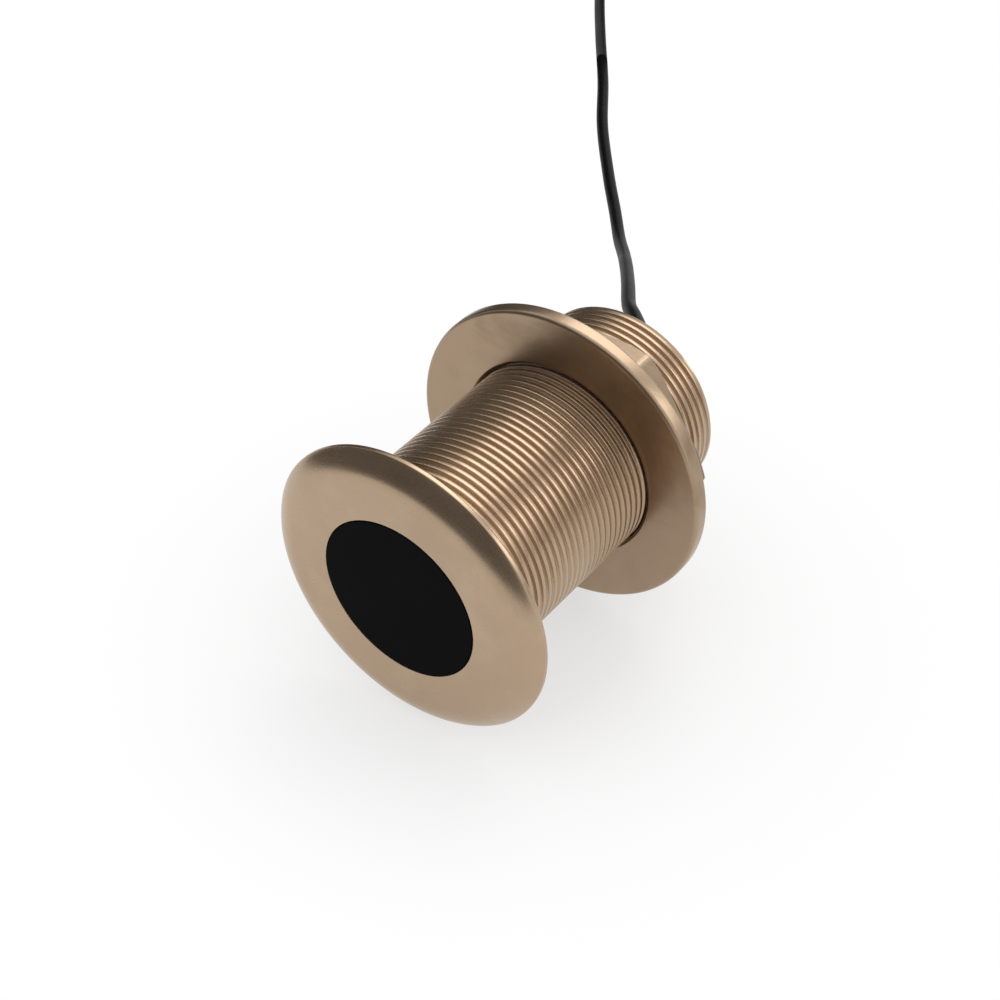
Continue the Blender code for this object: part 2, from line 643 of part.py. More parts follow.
# What holds the cable: a crimped ferrule, the potting that closes the stem, and a tapered relief
def makeCableEntry(finishes, parent):
    seat = (*CABLE_PLACE, 0.0)
    ferruleEnd = POTTING_START - CLEARANCE
    ferrule = [
        (CABLE_SEAT_RADIUS, ferruleEnd - FERRULE_LENGTH),
        (CABLE_SEAT_RADIUS + FERRULE_WALL, ferruleEnd - FERRULE_LENGTH),
        (CABLE_SEAT_RADIUS + FERRULE_WALL, ferruleEnd),
        (CABLE_SEAT_RADIUS, ferruleEnd),
    ]
    addTurned("cable_ferrule", ferrule, finishes["brass"], parent, seat, SMALL_STEPS)
    radius = STEM_BORE_RADIUS - CLEARANCE
    plug = [(0.0, POTTING_START), (radius, POTTING_START), (radius, POTTING_END), (0.0, POTTING_END)]
    potting = addTurned("rear_potting", plug, finishes["potting_epoxy"], parent, steps=WINDOW_STEPS)
    drill(potting, CABLE_PLACE, CABLE_SEAT_RADIUS, POTTING_START, POTTING_END, SMALL_STEPS)
    relief = [
        (CABLE_SEAT_RADIUS, RELIEF_START),
        (RELIEF_FOOT_RADIUS, RELIEF_START),
        (RELIEF_FOOT_RADIUS, RELIEF_START + RELIEF_FOOT_HEIGHT),
        (RELIEF_BASE_RADIUS, RELIEF_START + RELIEF_FOOT_HEIGHT * 2),
        (RELIEF_TIP_RADIUS, RELIEF_TIP),
        (CABLE_SEAT_RADIUS, RELIEF_TIP),
    ]
    addTurned("strain_relief", relief, finishes["cable_rubber"], parent, seat, SMALL_STEPS)


# Hull nut: a threaded round blank with a wide flange, milled to a hexagon behind it
def makeHullNut(finish, parent):
    edgeCentre = (NUT_FLANGE_RADIUS - NUT_EDGE_ROUND, NUT_PLACE + NUT_EDGE_ROUND)
    flangeEnd = NUT_PLACE + NUT_FLANGE_THICKNESS
    section = quarterRound(edgeCentre, (NUT_EDGE_ROUND, NUT_EDGE_ROUND), -pi / 2, NUT_EDGE_STEPS)
    section += [
        (NUT_FLANGE_RADIUS, flangeEnd - NUT_RIM_BEVEL),
        (NUT_FLANGE_RADIUS - NUT_RIM_BEVEL, flangeEnd),
        (NUT_CORNER_RADIUS, flangeEnd),
        (NUT_CORNER_RADIUS, NUT_END - NUT_CORNER_CHAMFER / 2),
        (NUT_CORNER_RADIUS - NUT_CORNER_CHAMFER, NUT_END),
    ]
    crestRadius = STEM_RADIUS + CLEARANCE
    mesh = threadedMesh("hull_nut", section, crestRadius - THREAD_DEPTH, crestRadius, NUT_MOUTH_RADIUS)
    nut = addObject("hull_nut", mesh, finish, parent)
    makeFlatsCutter(nut, parent, flangeEnd)
    return nut


# Six blocks, one outside each flat of the hexagon, taken off the blank together
def makeFlatsCutter(nut, parent, bottom):
    inside = NUT_ACROSS_FLATS / 2
    outside = NUT_FLANGE_RADIUS
    halfSide = NUT_CORNER_RADIUS / 2 + NUT_EDGE_ROUND
    for side in range(6):
        turn = tau * (side + 0.5) / 6
        along, across = Vector((cos(turn), sin(turn))), Vector((-sin(turn), cos(turn)))
        corners = (
            along * inside - across * halfSide,
            along * outside - across * halfSide,
            along * outside + across * halfSide,
            along * inside + across * halfSide,
        )
        name = f"flat_cutter_{side + 1}"
        mesh = prismMesh(name, [tuple(corner) for corner in corners], bottom, NUT_END + NUT_HEIGHT)
        cutWith(nut, addObject(name, mesh, None, parent))


# Where a line that touches the coil's outer turn clears the coil's own side
def tangentClearance():
    turnRadius = COIL_MIDDLE_RADIUS + (COIL_COLUMNS - 1) * CABLE_RADIUS
    side = COIL_MIDDLE_RADIUS + COIL_COLUMNS * CABLE_RADIUS + CABLE_SEAT_RADIUS
    return turnRadius, sqrt(side ** 2 - turnRadius ** 2)


# The loose run: straight out of the relief, down to the ground and on to the coil's outer turn
def makeCableRun(finish, axis, ground):
    jacket = axis.matrix_world @ Vector((*CABLE_PLACE, JACKET_START))
    tip = axis.matrix_world @ Vector((*CABLE_PLACE, RELIEF_TIP))
    face = axis.matrix_world @ Vector((0, 0, 0))
    start = [jacket, jacket.lerp(tip, 0.5), tip]
    route = [Vector((x, face.y + y, z)) for x, y, z in CABLE_ROUTE]
    turnRadius, clear = tangentClearance()
    centre = Vector((COIL_CENTRE[0], face.y + COIL_CENTRE[1], 0.0))
    last = route[-1]
    away = Vector((centre.x - last.x, centre.y - last.y, 0.0))
    lean = acos(turnRadius / away.length)
    toLast = atan2(last.y - centre.y, last.x - centre.x)
    touchTurn = toLast - lean
    touch = centre + Vector((cos(touchTurn), sin(touchTurn), 0)) * turnRadius
    arrive = (touch - Vector((last.x, last.y, 0))).normalized()
    end = touch - arrive * clear
    end.z = STRAP_THICKNESS + CLEARANCE + CABLE_RADIUS
    line = smoothLine(start + route + [end], CABLE_STEP)
    return addTube("cable_run", line, CABLE_RADIUS, finish, ground)


# The wound length as one ring with softened corners, raised by its straps
def makeCoil(finishes, axis, ground):
    face = axis.matrix_world @ Vector((0, 0, 0))
    centre = (COIL_CENTRE[0], face.y + COIL_CENTRE[1], 0.0)
    half = COIL_COLUMNS * CABLE_RADIUS
    inner, outer = COIL_MIDDLE_RADIUS - half, COIL_MIDDLE_RADIUS + half
    bottom = STRAP_THICKNESS + CLEARANCE
    top = bottom + COIL_ROWS * CABLE_RADIUS * 2
    section = [
        (inner + COIL_CORNER, bottom),
        (outer - COIL_CORNER, bottom),
        (outer, bottom + COIL_CORNER),
        (outer, top - COIL_CORNER),
        (outer - COIL_CORNER, top),
        (inner + COIL_CORNER, top),
        (inner, top - COIL_CORNER),
        (inner, bottom + COIL_CORNER),
    ]
    addTurned("cable_coil", section, finishes["cable_rubber"], ground, centre, COIL_SIDES)
    middle = (bottom + top) / 2
    for index, turn in enumerate(STRAP_ANGLES):
        makeStrap(f"coil_strap_{index + 1}", turn, middle, centre, finishes["strap_fabric"], ground)


# The ring's section grown by `extra` on each side, as (radius, height) points
def bundleOutline(extra, middle):
    halfWide = COIL_COLUMNS * CABLE_RADIUS + extra
    halfHigh = COIL_ROWS * CABLE_RADIUS + extra
    corner = STRAP_CORNER + extra
    shape = [
        (corner - halfWide, -halfHigh),
        (halfWide - corner, -halfHigh),
        (halfWide, corner - halfHigh),
        (halfWide, halfHigh - corner),
        (halfWide - corner, halfHigh),
        (corner - halfWide, halfHigh),
        (-halfWide, halfHigh - corner),
        (-halfWide, corner - halfHigh),
    ]
    return [(COIL_MIDDLE_RADIUS + x, middle + height) for x, height in shape]


# One strap round the bundle, following the ring's curve for its own width
def makeStrap(name, turn, middle, centre, finish, ground):
    bm = bmesh.new()
    halfTurn = STRAP_WIDTH / 2 / COIL_MIDDLE_RADIUS
    sweeps = []
    for extra in (CLEARANCE, CLEARANCE + STRAP_THICKNESS):
        outline = bundleOutline(extra, middle)
        sweep = []
        for step in range(STRAP_STEPS + 1):
            angle = turn - halfTurn + 2 * halfTurn * step / STRAP_STEPS
            sweep.append([bm.verts.new((r * cos(angle), r * sin(angle), z)) for r, z in outline])
        sweeps.append(sweep)
    inside, outside = sweeps
    pairs = [(inside[0], outside[0]), (inside[-1], outside[-1])]
    for sweep in sweeps:
        pairs += list(zip(sweep, sweep[1:]))
    for first, second in pairs:
        for index in range(len(first)):
            following = (index + 1) % len(first)
            bm.faces.new((first[index], first[following], second[following], second[index]))
    return addObject(name, finishMesh(name, bm), finish, ground, centre)


# The cable's end leaves the outer turn at the top and runs down to the connector on the ground
def makeTail(finish, axis, ground):
    face = axis.matrix_world @ Vector((0, 0, 0))
    turnRadius, clear = tangentClearance()
    centre = Vector((COIL_CENTRE[0], face.y + COIL_CENTRE[1], 0.0))
    outward = Vector((cos(TAIL_LEAVES_AT), sin(TAIL_LEAVES_AT), 0))
    ahead = Vector((sin(TAIL_LEAVES_AT), -cos(TAIL_LEAVES_AT), 0))
    touch = centre + outward * turnRadius
    top = STRAP_THICKNESS + CLEARANCE + (COIL_ROWS * 2 - 1) * CABLE_RADIUS
    route = [touch + ahead * clear + Vector((0, 0, top))]
    route += [touch + ahead * along + Vector((0, 0, height)) for along, height in TAIL_ROUTE]
    end = touch + ahead * (CONNECTOR_START - CLEARANCE) + Vector((0, 0, COUPLING_RADIUS))
    route.append(end)
    addTube("cable_tail", smoothLine(route, CABLE_STEP), CABLE_RADIUS, finish, ground)
    place = touch + ahead * CONNECTOR_START + Vector((0, 0, COUPLING_RADIUS))
    return addEmpty("connector_axis", ground, place, (0, pi / 2, TAIL_LEAVES_AT - pi / 2))


# The connector: a grooved boot, a body with an open socket, a ribbed coupling ring, an insert and its pins
def makeConnector(finishes, parent):
    boot = [(0.0, 0.0), (CONNECTOR_BOOT_TIP_RADIUS, 0.0)]
    grooveStep = CONNECTOR_BOOT_LENGTH / (2 * BOOT_GROOVES + 2)
    growth = CONNECTOR_BOOT_RADIUS - CONNECTOR_BOOT_TIP_RADIUS
    for groove in range(BOOT_GROOVES):
        for part, depth in ((0.0, 0.0), (0.0, BOOT_GROOVE_DEPTH), (1.0, BOOT_GROOVE_DEPTH), (1.0, 0.0)):
            height = grooveStep * (2 * groove + 1 + part)
            boot.append((CONNECTOR_BOOT_TIP_RADIUS + growth * height / CONNECTOR_BOOT_LENGTH - depth, height))
    boot += [(CONNECTOR_BOOT_RADIUS, CONNECTOR_BOOT_LENGTH), (0.0, CONNECTOR_BOOT_LENGTH)]
    addTurned("connector_boot", boot, finishes["cable_rubber"], parent, steps=SMALL_STEPS)
    bodyStart = CONNECTOR_BOOT_LENGTH + CLEARANCE
    bodyEnd = bodyStart + CONNECTOR_BODY_LENGTH
    collar = bodyStart + CONNECTOR_COLLAR_START
    socketFloor = bodyEnd - CONNECTOR_SOCKET_DEPTH
    body = [
        (0.0, bodyStart),
        (CONNECTOR_BODY_RADIUS - CONNECTOR_EDGE, bodyStart),
        (CONNECTOR_BODY_RADIUS, bodyStart + CONNECTOR_EDGE),
        (CONNECTOR_BODY_RADIUS, collar),
        (CONNECTOR_COLLAR_RADIUS, collar),
        (CONNECTOR_COLLAR_RADIUS, collar + CONNECTOR_COLLAR_LENGTH),
        (CONNECTOR_BODY_RADIUS, collar + CONNECTOR_COLLAR_LENGTH),
        (CONNECTOR_BODY_RADIUS, bodyEnd - CONNECTOR_EDGE),
        (CONNECTOR_BODY_RADIUS - CONNECTOR_EDGE, bodyEnd),
        (CONNECTOR_SOCKET_RADIUS, bodyEnd),
        (CONNECTOR_SOCKET_RADIUS, socketFloor),
        (0.0, socketFloor),
    ]
    addTurned("connector_body", body, finishes["connector_plastic"], parent, steps=SMALL_STEPS)
    makeCouplingRing(finishes["connector_plastic"], parent, collar + CONNECTOR_COLLAR_LENGTH + CLEARANCE)
    insertStart = socketFloor + CLEARANCE
    insertEnd = insertStart + INSERT_THICKNESS
    insertRadius = CONNECTOR_SOCKET_RADIUS - CLEARANCE
    insert = [(0.0, insertStart), (insertRadius, insertStart), (insertRadius, insertEnd), (0.0, insertEnd)]
    addTurned("contact_insert", insert, finishes["window_urethane"], parent, steps=SMALL_STEPS)
    pinStart = insertEnd + CLEARANCE
    pin = [
        (0.0, 0.0),
        (PIN_RADIUS, 0.0),
        (PIN_RADIUS, PIN_LENGTH - PIN_RADIUS),
        (PIN_RADIUS / 2, PIN_LENGTH),
        (0.0, PIN_LENGTH),
    ]
    for index, (x, y) in enumerate(circleOutline(PIN_CIRCLE_RADIUS, PIN_COUNT)):
        name, place = f"contact_pin_{index + 1}", (x, y, pinStart)
        addTurned(name, pin, finishes["gold_contact"], parent, place, FINE_STEPS // 2)


# The ring's outside steps in and out; a rib lies flat on the ground
def makeCouplingRing(finish, parent, bottom):
    outline = []
    for rib in range(COUPLING_RIBS):
        spacing = tau / COUPLING_RIBS
        middle = spacing * rib
        half = spacing * COUPLING_RIB_SHARE / 2
        flank = spacing * COUPLING_FLANK_SHARE
        for turn, radius in (
            (middle - half, COUPLING_RADIUS / cos(half)),
            (middle + half, COUPLING_RADIUS / cos(half)),
            (middle + half + flank, COUPLING_RADIUS - COUPLING_WALL_STEP),
            (middle + spacing - half - flank, COUPLING_RADIUS - COUPLING_WALL_STEP),
        ):
            outline.append((radius * cos(turn), radius * sin(turn)))
    ringMesh = prismMesh("coupling_ring", outline, bottom, bottom + COUPLING_LENGTH)
    ring = addObject("coupling_ring", ringMesh, finish, parent)
    drill(ring, (0, 0), CONNECTOR_BODY_RADIUS + CLEARANCE, bottom, bottom + COUPLING_LENGTH, SMALL_STEPS)
    return ring


# The origin goes to the middle of what stands on the ground, cable and connector apart
def centreOnGround(layout, axis):
    bpy.context.view_layer.update()
    graph = bpy.context.evaluated_depsgraph_get()
    corners = []
    for item in axis.children:
        if item.type == "MESH" and not item.hide_render:
            shape = item.evaluated_get(graph)
            corners += [shape.matrix_world @ corner.co for corner in shape.data.vertices]
    for side in range(2):
        low, high = min(corner[side] for corner in corners), max(corner[side] for corner in corners)
        layout.location[side] = -(low + high) / 2
    bpy.context.view_layer.update()


def main():
    clearScene()
    finishes = makeFinishes()
    layout = addEmpty("layout")
    axis = addEmpty("transducer_axis", layout, (0, 0, AXIS_HEIGHT), (LEAN - pi / 2, 0, 0))
    makeHousing(finishes["bronze"], axis)
    makeWindow(finishes["window_urethane"], axis)
    makeElement(finishes, axis)
    makeBoard(finishes["board"], axis)
    makeTransformer(finishes, axis)
    makeCapacitor(finishes["capacitor_red"], axis)
    makeConductors(finishes, axis)
    makeCableEntry(finishes, axis)
    makeHullNut(finishes["bronze"], axis)
    bpy.context.view_layer.update()
    makeCableRun(finishes["cable_rubber"], axis, layout)
    makeCoil(finishes, axis, layout)
    connector = makeTail(finishes["cable_rubber"], axis, layout)
    makeConnector(finishes, connector)
    centreOnGround(layout, axis)


main()
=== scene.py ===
# Through-hull sonar transducer on a pale table: a bronze housing with its hull nut, a black window,
# and a black cable that runs back over the table to a coil behind it.
import bmesh
import bpy
import json
from math import acos, asin, atan2, ceil, cos, pi, radians, sin, sqrt, tau
from mathutils import Matrix, Vector


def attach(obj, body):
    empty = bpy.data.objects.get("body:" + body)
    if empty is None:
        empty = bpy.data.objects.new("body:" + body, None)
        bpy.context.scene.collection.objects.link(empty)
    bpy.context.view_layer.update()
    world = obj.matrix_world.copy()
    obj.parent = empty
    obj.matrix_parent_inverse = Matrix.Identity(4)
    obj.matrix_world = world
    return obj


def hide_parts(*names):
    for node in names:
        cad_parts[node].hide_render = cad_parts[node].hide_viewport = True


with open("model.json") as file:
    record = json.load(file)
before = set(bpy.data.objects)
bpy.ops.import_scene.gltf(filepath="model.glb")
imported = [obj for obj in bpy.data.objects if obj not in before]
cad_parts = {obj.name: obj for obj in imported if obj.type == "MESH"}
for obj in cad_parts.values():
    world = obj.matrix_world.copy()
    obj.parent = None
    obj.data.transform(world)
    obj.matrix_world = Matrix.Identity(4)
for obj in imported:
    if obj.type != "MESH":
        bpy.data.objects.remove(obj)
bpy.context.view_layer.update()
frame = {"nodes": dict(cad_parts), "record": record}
nodes = frame["nodes"]

# The product's own axis starts in the middle of the acoustic face and climbs a little along +Y.
# The hull seat's mark is this far behind the face and above the axis.
seatMark = {"behindFace": 0.005, "aboveAxis": 0.031}
hullSeat = next(mount for mount in frame["record"]["mounts"] if mount["name"] == "hull_seat")
axisAlong = Vector(hullSeat["axis"]).normalized()
axisUp = Vector((0, -axisAlong.z, axisAlong.y))
axisStart = Vector(hullSeat["pos_m"]) - axisAlong * seatMark["behindFace"] - axisUp * seatMark["aboveAxis"]
axisTurn = asin(axisAlong.z) - pi / 2
axisPlace = Matrix.Translation(axisStart) @ Matrix.Rotation(axisTurn, 4, "X")
print("frame loaded:", len(nodes), "nodes")


# what the photograph's camera was: the window's middle lies left of, below and ahead of its centre line
cameraView = {
    "azimuth": radians(36.81),
    "elevation": radians(38.74),
    "lens": 70.56,
    "sensor": 36,
    "windowRight": -0.02246,
    "windowUp": -0.02196,
    "windowAhead": 0.4307,
}


def setCamera(view):
    across = Vector((cos(view["azimuth"]), sin(view["azimuth"]), 0))
    level = Vector((-sin(view["azimuth"]), cos(view["azimuth"]), 0))
    ahead = level * cos(view["elevation"]) - Vector((0, 0, sin(view["elevation"])))
    upward = across.cross(ahead)
    place = axisStart - across * view["windowRight"] - upward * view["windowUp"] - ahead * view["windowAhead"]
    bpy.ops.object.camera_add(location=place)
    camera = bpy.context.object
    camera.name = "tableCamera"
    camera.rotation_mode = "QUATERNION"
    camera.rotation_quaternion = ahead.to_track_quat("-Z", "Y")
    camera.data.lens = view["lens"]
    camera.data.sensor_width = view["sensor"]
    camera.data.clip_start = 0.01
    camera.data.clip_end = 100
    bpy.context.scene.camera = camera


setCamera(cameraView)
print("camera set")


# modelling helpers: everything is deselected before an operator acts on it
def deselectAll():
    if bpy.context.mode != "OBJECT":
        bpy.ops.object.mode_set(mode="OBJECT")
    bpy.ops.object.select_all(action="DESELECT")


def pick(item):
    deselectAll()
    item.select_set(True)
    bpy.context.view_layer.objects.active = item


def edit(item):
    pick(item)
    bpy.ops.object.mode_set(mode="EDIT")


def applyAll(item):
    pick(item)
    for modifier in list(item.modifiers):
        bpy.ops.object.modifier_apply(modifier=modifier.name)


def tidyMesh(item, weld=0.000004, crease=30):
    edit(item)
    bpy.ops.mesh.select_all(action="SELECT")
    bpy.ops.mesh.remove_doubles(threshold=weld)
    bpy.ops.mesh.normals_make_consistent(inside=False)
    bpy.ops.object.mode_set(mode="OBJECT")
    bpy.ops.object.shade_smooth_by_angle(angle=radians(crease))


def settle(item, place):
    pick(item)
    item.data.transform(place @ item.matrix_world)
    item.matrix_world = Matrix.Identity(4)


# a section's corners as (radius, height, rounding); every rounded corner becomes a short arc
def roundedSection(corners, steps=4):
    line = []
    for index, (radius, height, rounding) in enumerate(corners):
        here = Vector((radius, height))
        if rounding == 0 or index in (0, len(corners) - 1):
            line.append(here)
            continue
        before = Vector(corners[index - 1][:2]) - here
        after = Vector(corners[index + 1][:2]) - here
        half = before.angle(after) / 2
        cut = min(rounding / max(sin(half) / cos(half), 0.001), before.length * 0.49, after.length * 0.49)
        start, end = here + before.normalized() * cut, here + after.normalized() * cut
        for step in range(steps + 1):
            share = step / steps
            line.append(start.lerp(here, share).lerp(here.lerp(end, share), share))
    return line


# a wire line in the XZ plane: a plane shrunk to one point, then extruded from corner to corner
def drawLine(name, points):
    deselectAll()
    bpy.ops.mesh.primitive_plane_add(size=0.001, location=(0, 0, 0))
    piece = bpy.context.object
    piece.name = piece.data.name = name
    edit(piece)
    bpy.ops.mesh.select_mode(type="VERT")
    bpy.ops.mesh.select_all(action="SELECT")
    bpy.ops.mesh.merge(type="CENTER")
    bpy.ops.transform.translate(value=(points[0][0], 0, points[0][1]))
    for first, second in zip(points, points[1:]):
        move = {"value": (second[0] - first[0], 0, second[1] - first[1])}
        bpy.ops.mesh.extrude_vertices_move(TRANSFORM_OT_translate=move)
    bpy.ops.object.mode_set(mode="OBJECT")
    return piece


# a section line spun once round the vertical axis
def turnedPiece(name, points, steps, weld=0.000002):
    piece = drawLine(name, points)
    edit(piece)
    bpy.ops.mesh.select_all(action="SELECT")
    bpy.ops.mesh.spin(steps=steps, angle=tau, center=(0, 0, 0), axis=(0, 0, 1))
    bpy.ops.mesh.select_all(action="SELECT")
    bpy.ops.mesh.remove_doubles(threshold=weld)
    bpy.ops.mesh.normals_make_consistent(inside=False)
    bpy.ops.object.mode_set(mode="OBJECT")
    return piece


def joinPieces(main, other):
    pick(main)
    other.select_set(True)
    bpy.ops.object.join()
    return main


# joins the two open loops that lie between two heights, corner to corner in the order of their angles
def zipLoops(piece, low, high):
    mesh = bmesh.new()
    mesh.from_mesh(piece.data)
    rim = {
        edge for edge in mesh.edges
        if edge.is_boundary and all(low <= corner.co.z <= high for corner in edge.verts)
    }
    loops = []
    while rim:
        loop, queue = set(), [rim.pop()]
        while queue:
            edge = queue.pop()
            loop.update(edge.verts)
            following = {other for corner in edge.verts for other in corner.link_edges if other in rim}
            rim -= following
            queue += following
        loops.append(sorted((atan2(corner.co.y, corner.co.x), corner.index, corner) for corner in loop))
    first, second = loops
    first.append((first[0][0] + tau, *first[0][1:]))
    second.append((second[0][0] + tau, *second[0][1:]))
    one, two = 0, 0
    while one < len(first) - 1 or two < len(second) - 1:
        here, there = first[one][2], second[two][2]
        if two == len(second) - 1 or (one < len(first) - 1 and first[one + 1][0] <= second[two + 1][0]):
            one += 1
            mesh.faces.new((here, there, first[one][2]))
        else:
            two += 1
            mesh.faces.new((here, there, second[two][2]))
    mesh.to_mesh(piece.data)
    mesh.free()


# shader maths: a wrapped socket that adds, multiplies and compares by making Math nodes
class Wire:
    def __init__(self, bench, socket):
        self.bench, self.socket = bench, socket

    def maths(self, operation, first, second=None):
        values = {0: first}
        if second is not None:
            values[1] = second
        return self.bench.node("ShaderNodeMath", {"operation": operation}, values)

    def __add__(self, other):
        return self.maths("ADD", self, other)

    __radd__ = __add__

    def __sub__(self, other):
        return self.maths("SUBTRACT", self, other)

    def __rsub__(self, other):
        return self.maths("SUBTRACT", other, self)

    def __mul__(self, other):
        return self.maths("MULTIPLY", self, other)

    __rmul__ = __mul__

    def above(self, other):
        return self.maths("GREATER_THAN", self, other)

    def root(self):
        return self.maths("SQRT", self)

    def wave(self):
        return self.maths("SINE", self)

    def smooth(self, low, high):
        settings = {"interpolation_type": "SMOOTHSTEP"}
        sockets = {"Value": self, "From Min": low, "From Max": high}
        return self.bench.node("ShaderNodeMapRange", settings, sockets)


class Bench:
    def __init__(self, name, worldTree=None):
        if worldTree is None:
            self.material = bpy.data.materials.new(name)
            self.material.use_nodes = True
            self.tree = self.material.node_tree
            self.shader = self.tree.nodes["Principled BSDF"]
        else:
            self.tree = worldTree

    # one node from its type, its settings and what goes into its sockets
    def node(self, kind, settings=None, sockets=None, output=0):
        made = self.tree.nodes.new(kind)
        for key, value in (settings or {}).items():
            setattr(made, key, value)
        for key, value in (sockets or {}).items():
            if isinstance(value, Wire):
                self.tree.links.new(value.socket, made.inputs[key])
            else:
                made.inputs[key].default_value = value
        return Wire(self, made.outputs[output])

    def link(self, wire, socket):
        self.tree.links.new(wire.socket, socket)

    # the object's own coordinates, in metres from its origin
    def coords(self):
        return self.node("ShaderNodeTexCoord", output=3)

    def place(self, centre, turn=(0, 0, 0)):
        sockets = {"Vector": self.coords(), "Location": centre, "Rotation": turn}
        return self.node("ShaderNodeMapping", {"vector_type": "TEXTURE"}, sockets)

    def split(self, vector):
        made = self.tree.nodes.new("ShaderNodeSeparateXYZ")
        self.tree.links.new(vector.socket, made.inputs[0])
        return [Wire(self, made.outputs[index]) for index in range(3)]

    def noise(self, vector, scale, detail=4.0, roughness=0.55, distortion=0.0):
        sockets = {"Vector": vector, "Scale": scale, "Detail": detail}
        sockets.update({"Roughness": roughness, "Distortion": distortion})
        return self.node("ShaderNodeTexNoise", None, sockets)

    def blend(self, first, second, share):
        settings = {"data_type": "RGBA", "clamp_factor": True}
        return self.node("ShaderNodeMix", settings, {0: share, 6: first, 7: second}, output=2)

    def bump(self, height, distance, strength=1.0, below=None):
        sockets = {"Height": height, "Distance": distance, "Strength": strength}
        if below is not None:
            sockets["Normal"] = below
        return self.node("ShaderNodeBump", None, sockets)

    # 1 for the rays that see the white studio: from the camera, off metal and through glass
    def seenRays(self):
        rays = self.tree.nodes.new("ShaderNodeLightPath")
        kinds = ("Is Camera Ray", "Is Glossy Ray", "Is Transmission Ray")
        camera, glossy, through = (Wire(self, rays.outputs[kind]) for kind in kinds)
        return camera + glossy + through

    def finish(self, colour, roughness, normal=None, constants=None):
        given = {"Base Color": colour, "Roughness": roughness, "Normal": normal}
        for key, value in given.items():
            if isinstance(value, Wire):
                self.link(value, self.shader.inputs[key])
            elif value is not None:
                self.shader.inputs[key].default_value = value
        for key, value in (constants or {}).items():
            self.shader.inputs[key].default_value = value
        return self.material


def paint(piece, material):
    piece.data.materials.clear()
    piece.data.materials.append(material)


# every piece rides on the only body; its slot is noted for the finishes at the end
wornSlots = []


def carry(piece, slot, *replaced):
    wornSlots.append((piece, slot))
    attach(piece, "root")
    if replaced:
        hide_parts(*replaced)


# The cable first: its route is the one its solids follow, with the coil wound turn by turn
cable = {
    "radius": 0.0020,
    "gap": 0.0003,
    "startBehindFace": 0.0703,
    "exitBehindFace": 0.0996,
    "offset": 0.0080,
    "offsetAngle": radians(146),
    "coilRadius": 0.0330,
    "columns": 7,
    "rows": 6,
    "coilCentre": (-0.1788, 0.4208),
    "strap": 0.0010,
    "stepsPerTurn": 40,
    "levelShare": 0.72,
    "tailAngle": radians(90),
    "connectorStart": 0.0700,
    "connectorHeight": 0.0095,
    "insideBoot": 0.0050,
    "runStep": 0.003,
    "roundness": 6,
}
# metres from the axis, from the face and above the table
cableRoute = (
    (-0.0077, 0.1049, 0.0455),
    (-0.0103, 0.1107, 0.0443),
    (-0.0143, 0.1160, 0.0421),
    (-0.0198, 0.1222, 0.0398),
    (-0.0259, 0.1296, 0.0363),
    (-0.0381, 0.1480, 0.0283),
    (-0.0509, 0.1670, 0.0192),
    (-0.0639, 0.1855, 0.0102),
    (-0.0763, 0.2018, 0.0035),
    (-0.0882, 0.2170, 0.0020),
    (-0.1030, 0.2350, 0.0020),
    (-0.1240, 0.2620, 0.0020),
    (-0.1430, 0.2900, 0.0020),
    (-0.1640, 0.3190, 0.0020),
    (-0.1840, 0.3475, 0.0020),
)
tailRoute = ((0.0320, 0.0195), (0.0450, 0.0150), (0.0580, 0.0110))


# 0 to 1 with an easy start and end
def smoothShare(share):
    share = max(0.0, min(1.0, share))
    return share * share * (3 - 2 * share)


# points along a smooth curve through the route, evenly spaced
def smoothLine(route, step):
    points = [Vector(point) for point in route]
    ends = [points[0] * 2 - points[1]] + points + [points[-1] * 2 - points[-2]]
    dense = []
    for index in range(1, len(ends) - 2):
        before, here, there, after = ends[index - 1:index + 3]
        for part in range(16):
            share = part / 16
            bend = here * 2 + (there - before) * share
            bend += (before * 2 - here * 5 + there * 4 - after) * share ** 2
            bend += (here * 3 - before - there * 3 + after) * share ** 3
            dense.append(bend / 2)
    dense.append(points[-1])
    travelled = [0.0]
    for first, second in zip(dense, dense[1:]):
        travelled.append(travelled[-1] + (second - first).length)
    count = max(2, ceil(travelled[-1] / step))
    line, index = [], 0
    for part in range(count + 1):
        wanted = travelled[-1] * part / count
        while index < len(dense) - 2 and travelled[index + 1] < wanted:
            index += 1
        share = (wanted - travelled[index]) / (travelled[index + 1] - travelled[index])
        line.append(dense[index].lerp(dense[index + 1], share))
    return line


# the radius of the coil's outermost turn and the height of its lowest one
def coilEdges(spec):
    outer = spec["coilRadius"] + (spec["columns"] - 1) * spec["radius"]
    return outer, spec["strap"] + spec["gap"] + spec["radius"]


# every turn of the coil, one row above the other, from the outside inwards and back
def coilTurns(spec, centre, startTurn, endTurn):
    across = spec["radius"] * 2
    outer, bottom = coilEdges(spec)
    places = []
    for row in range(spec["rows"]):
        columns = range(spec["columns"])
        for column in (columns if row % 2 == 0 else reversed(columns)):
            places.append((outer - column * across, bottom + row * across))
    steps = spec["stepsPerTurn"]
    total = len(places) + (startTurn - endTurn) / tau % 1.0
    line = []
    count = ceil(total * steps)
    for step in range(count + 1):
        travelled = total * step / count
        whole = min(int(travelled), len(places) - 1)
        part = travelled - whole
        radius, height = places[whole]
        if whole + 1 < len(places):
            nextRadius, nextHeight = places[whole + 1]
            ease = smoothShare((part - spec["levelShare"]) / (1 - spec["levelShare"]))
            radius += (nextRadius - radius) * ease
            height += (nextHeight - height) * ease
        turn = startTurn - tau * travelled
        line.append(Vector((centre.x + radius * cos(turn), centre.y + radius * sin(turn), height)))
    return line


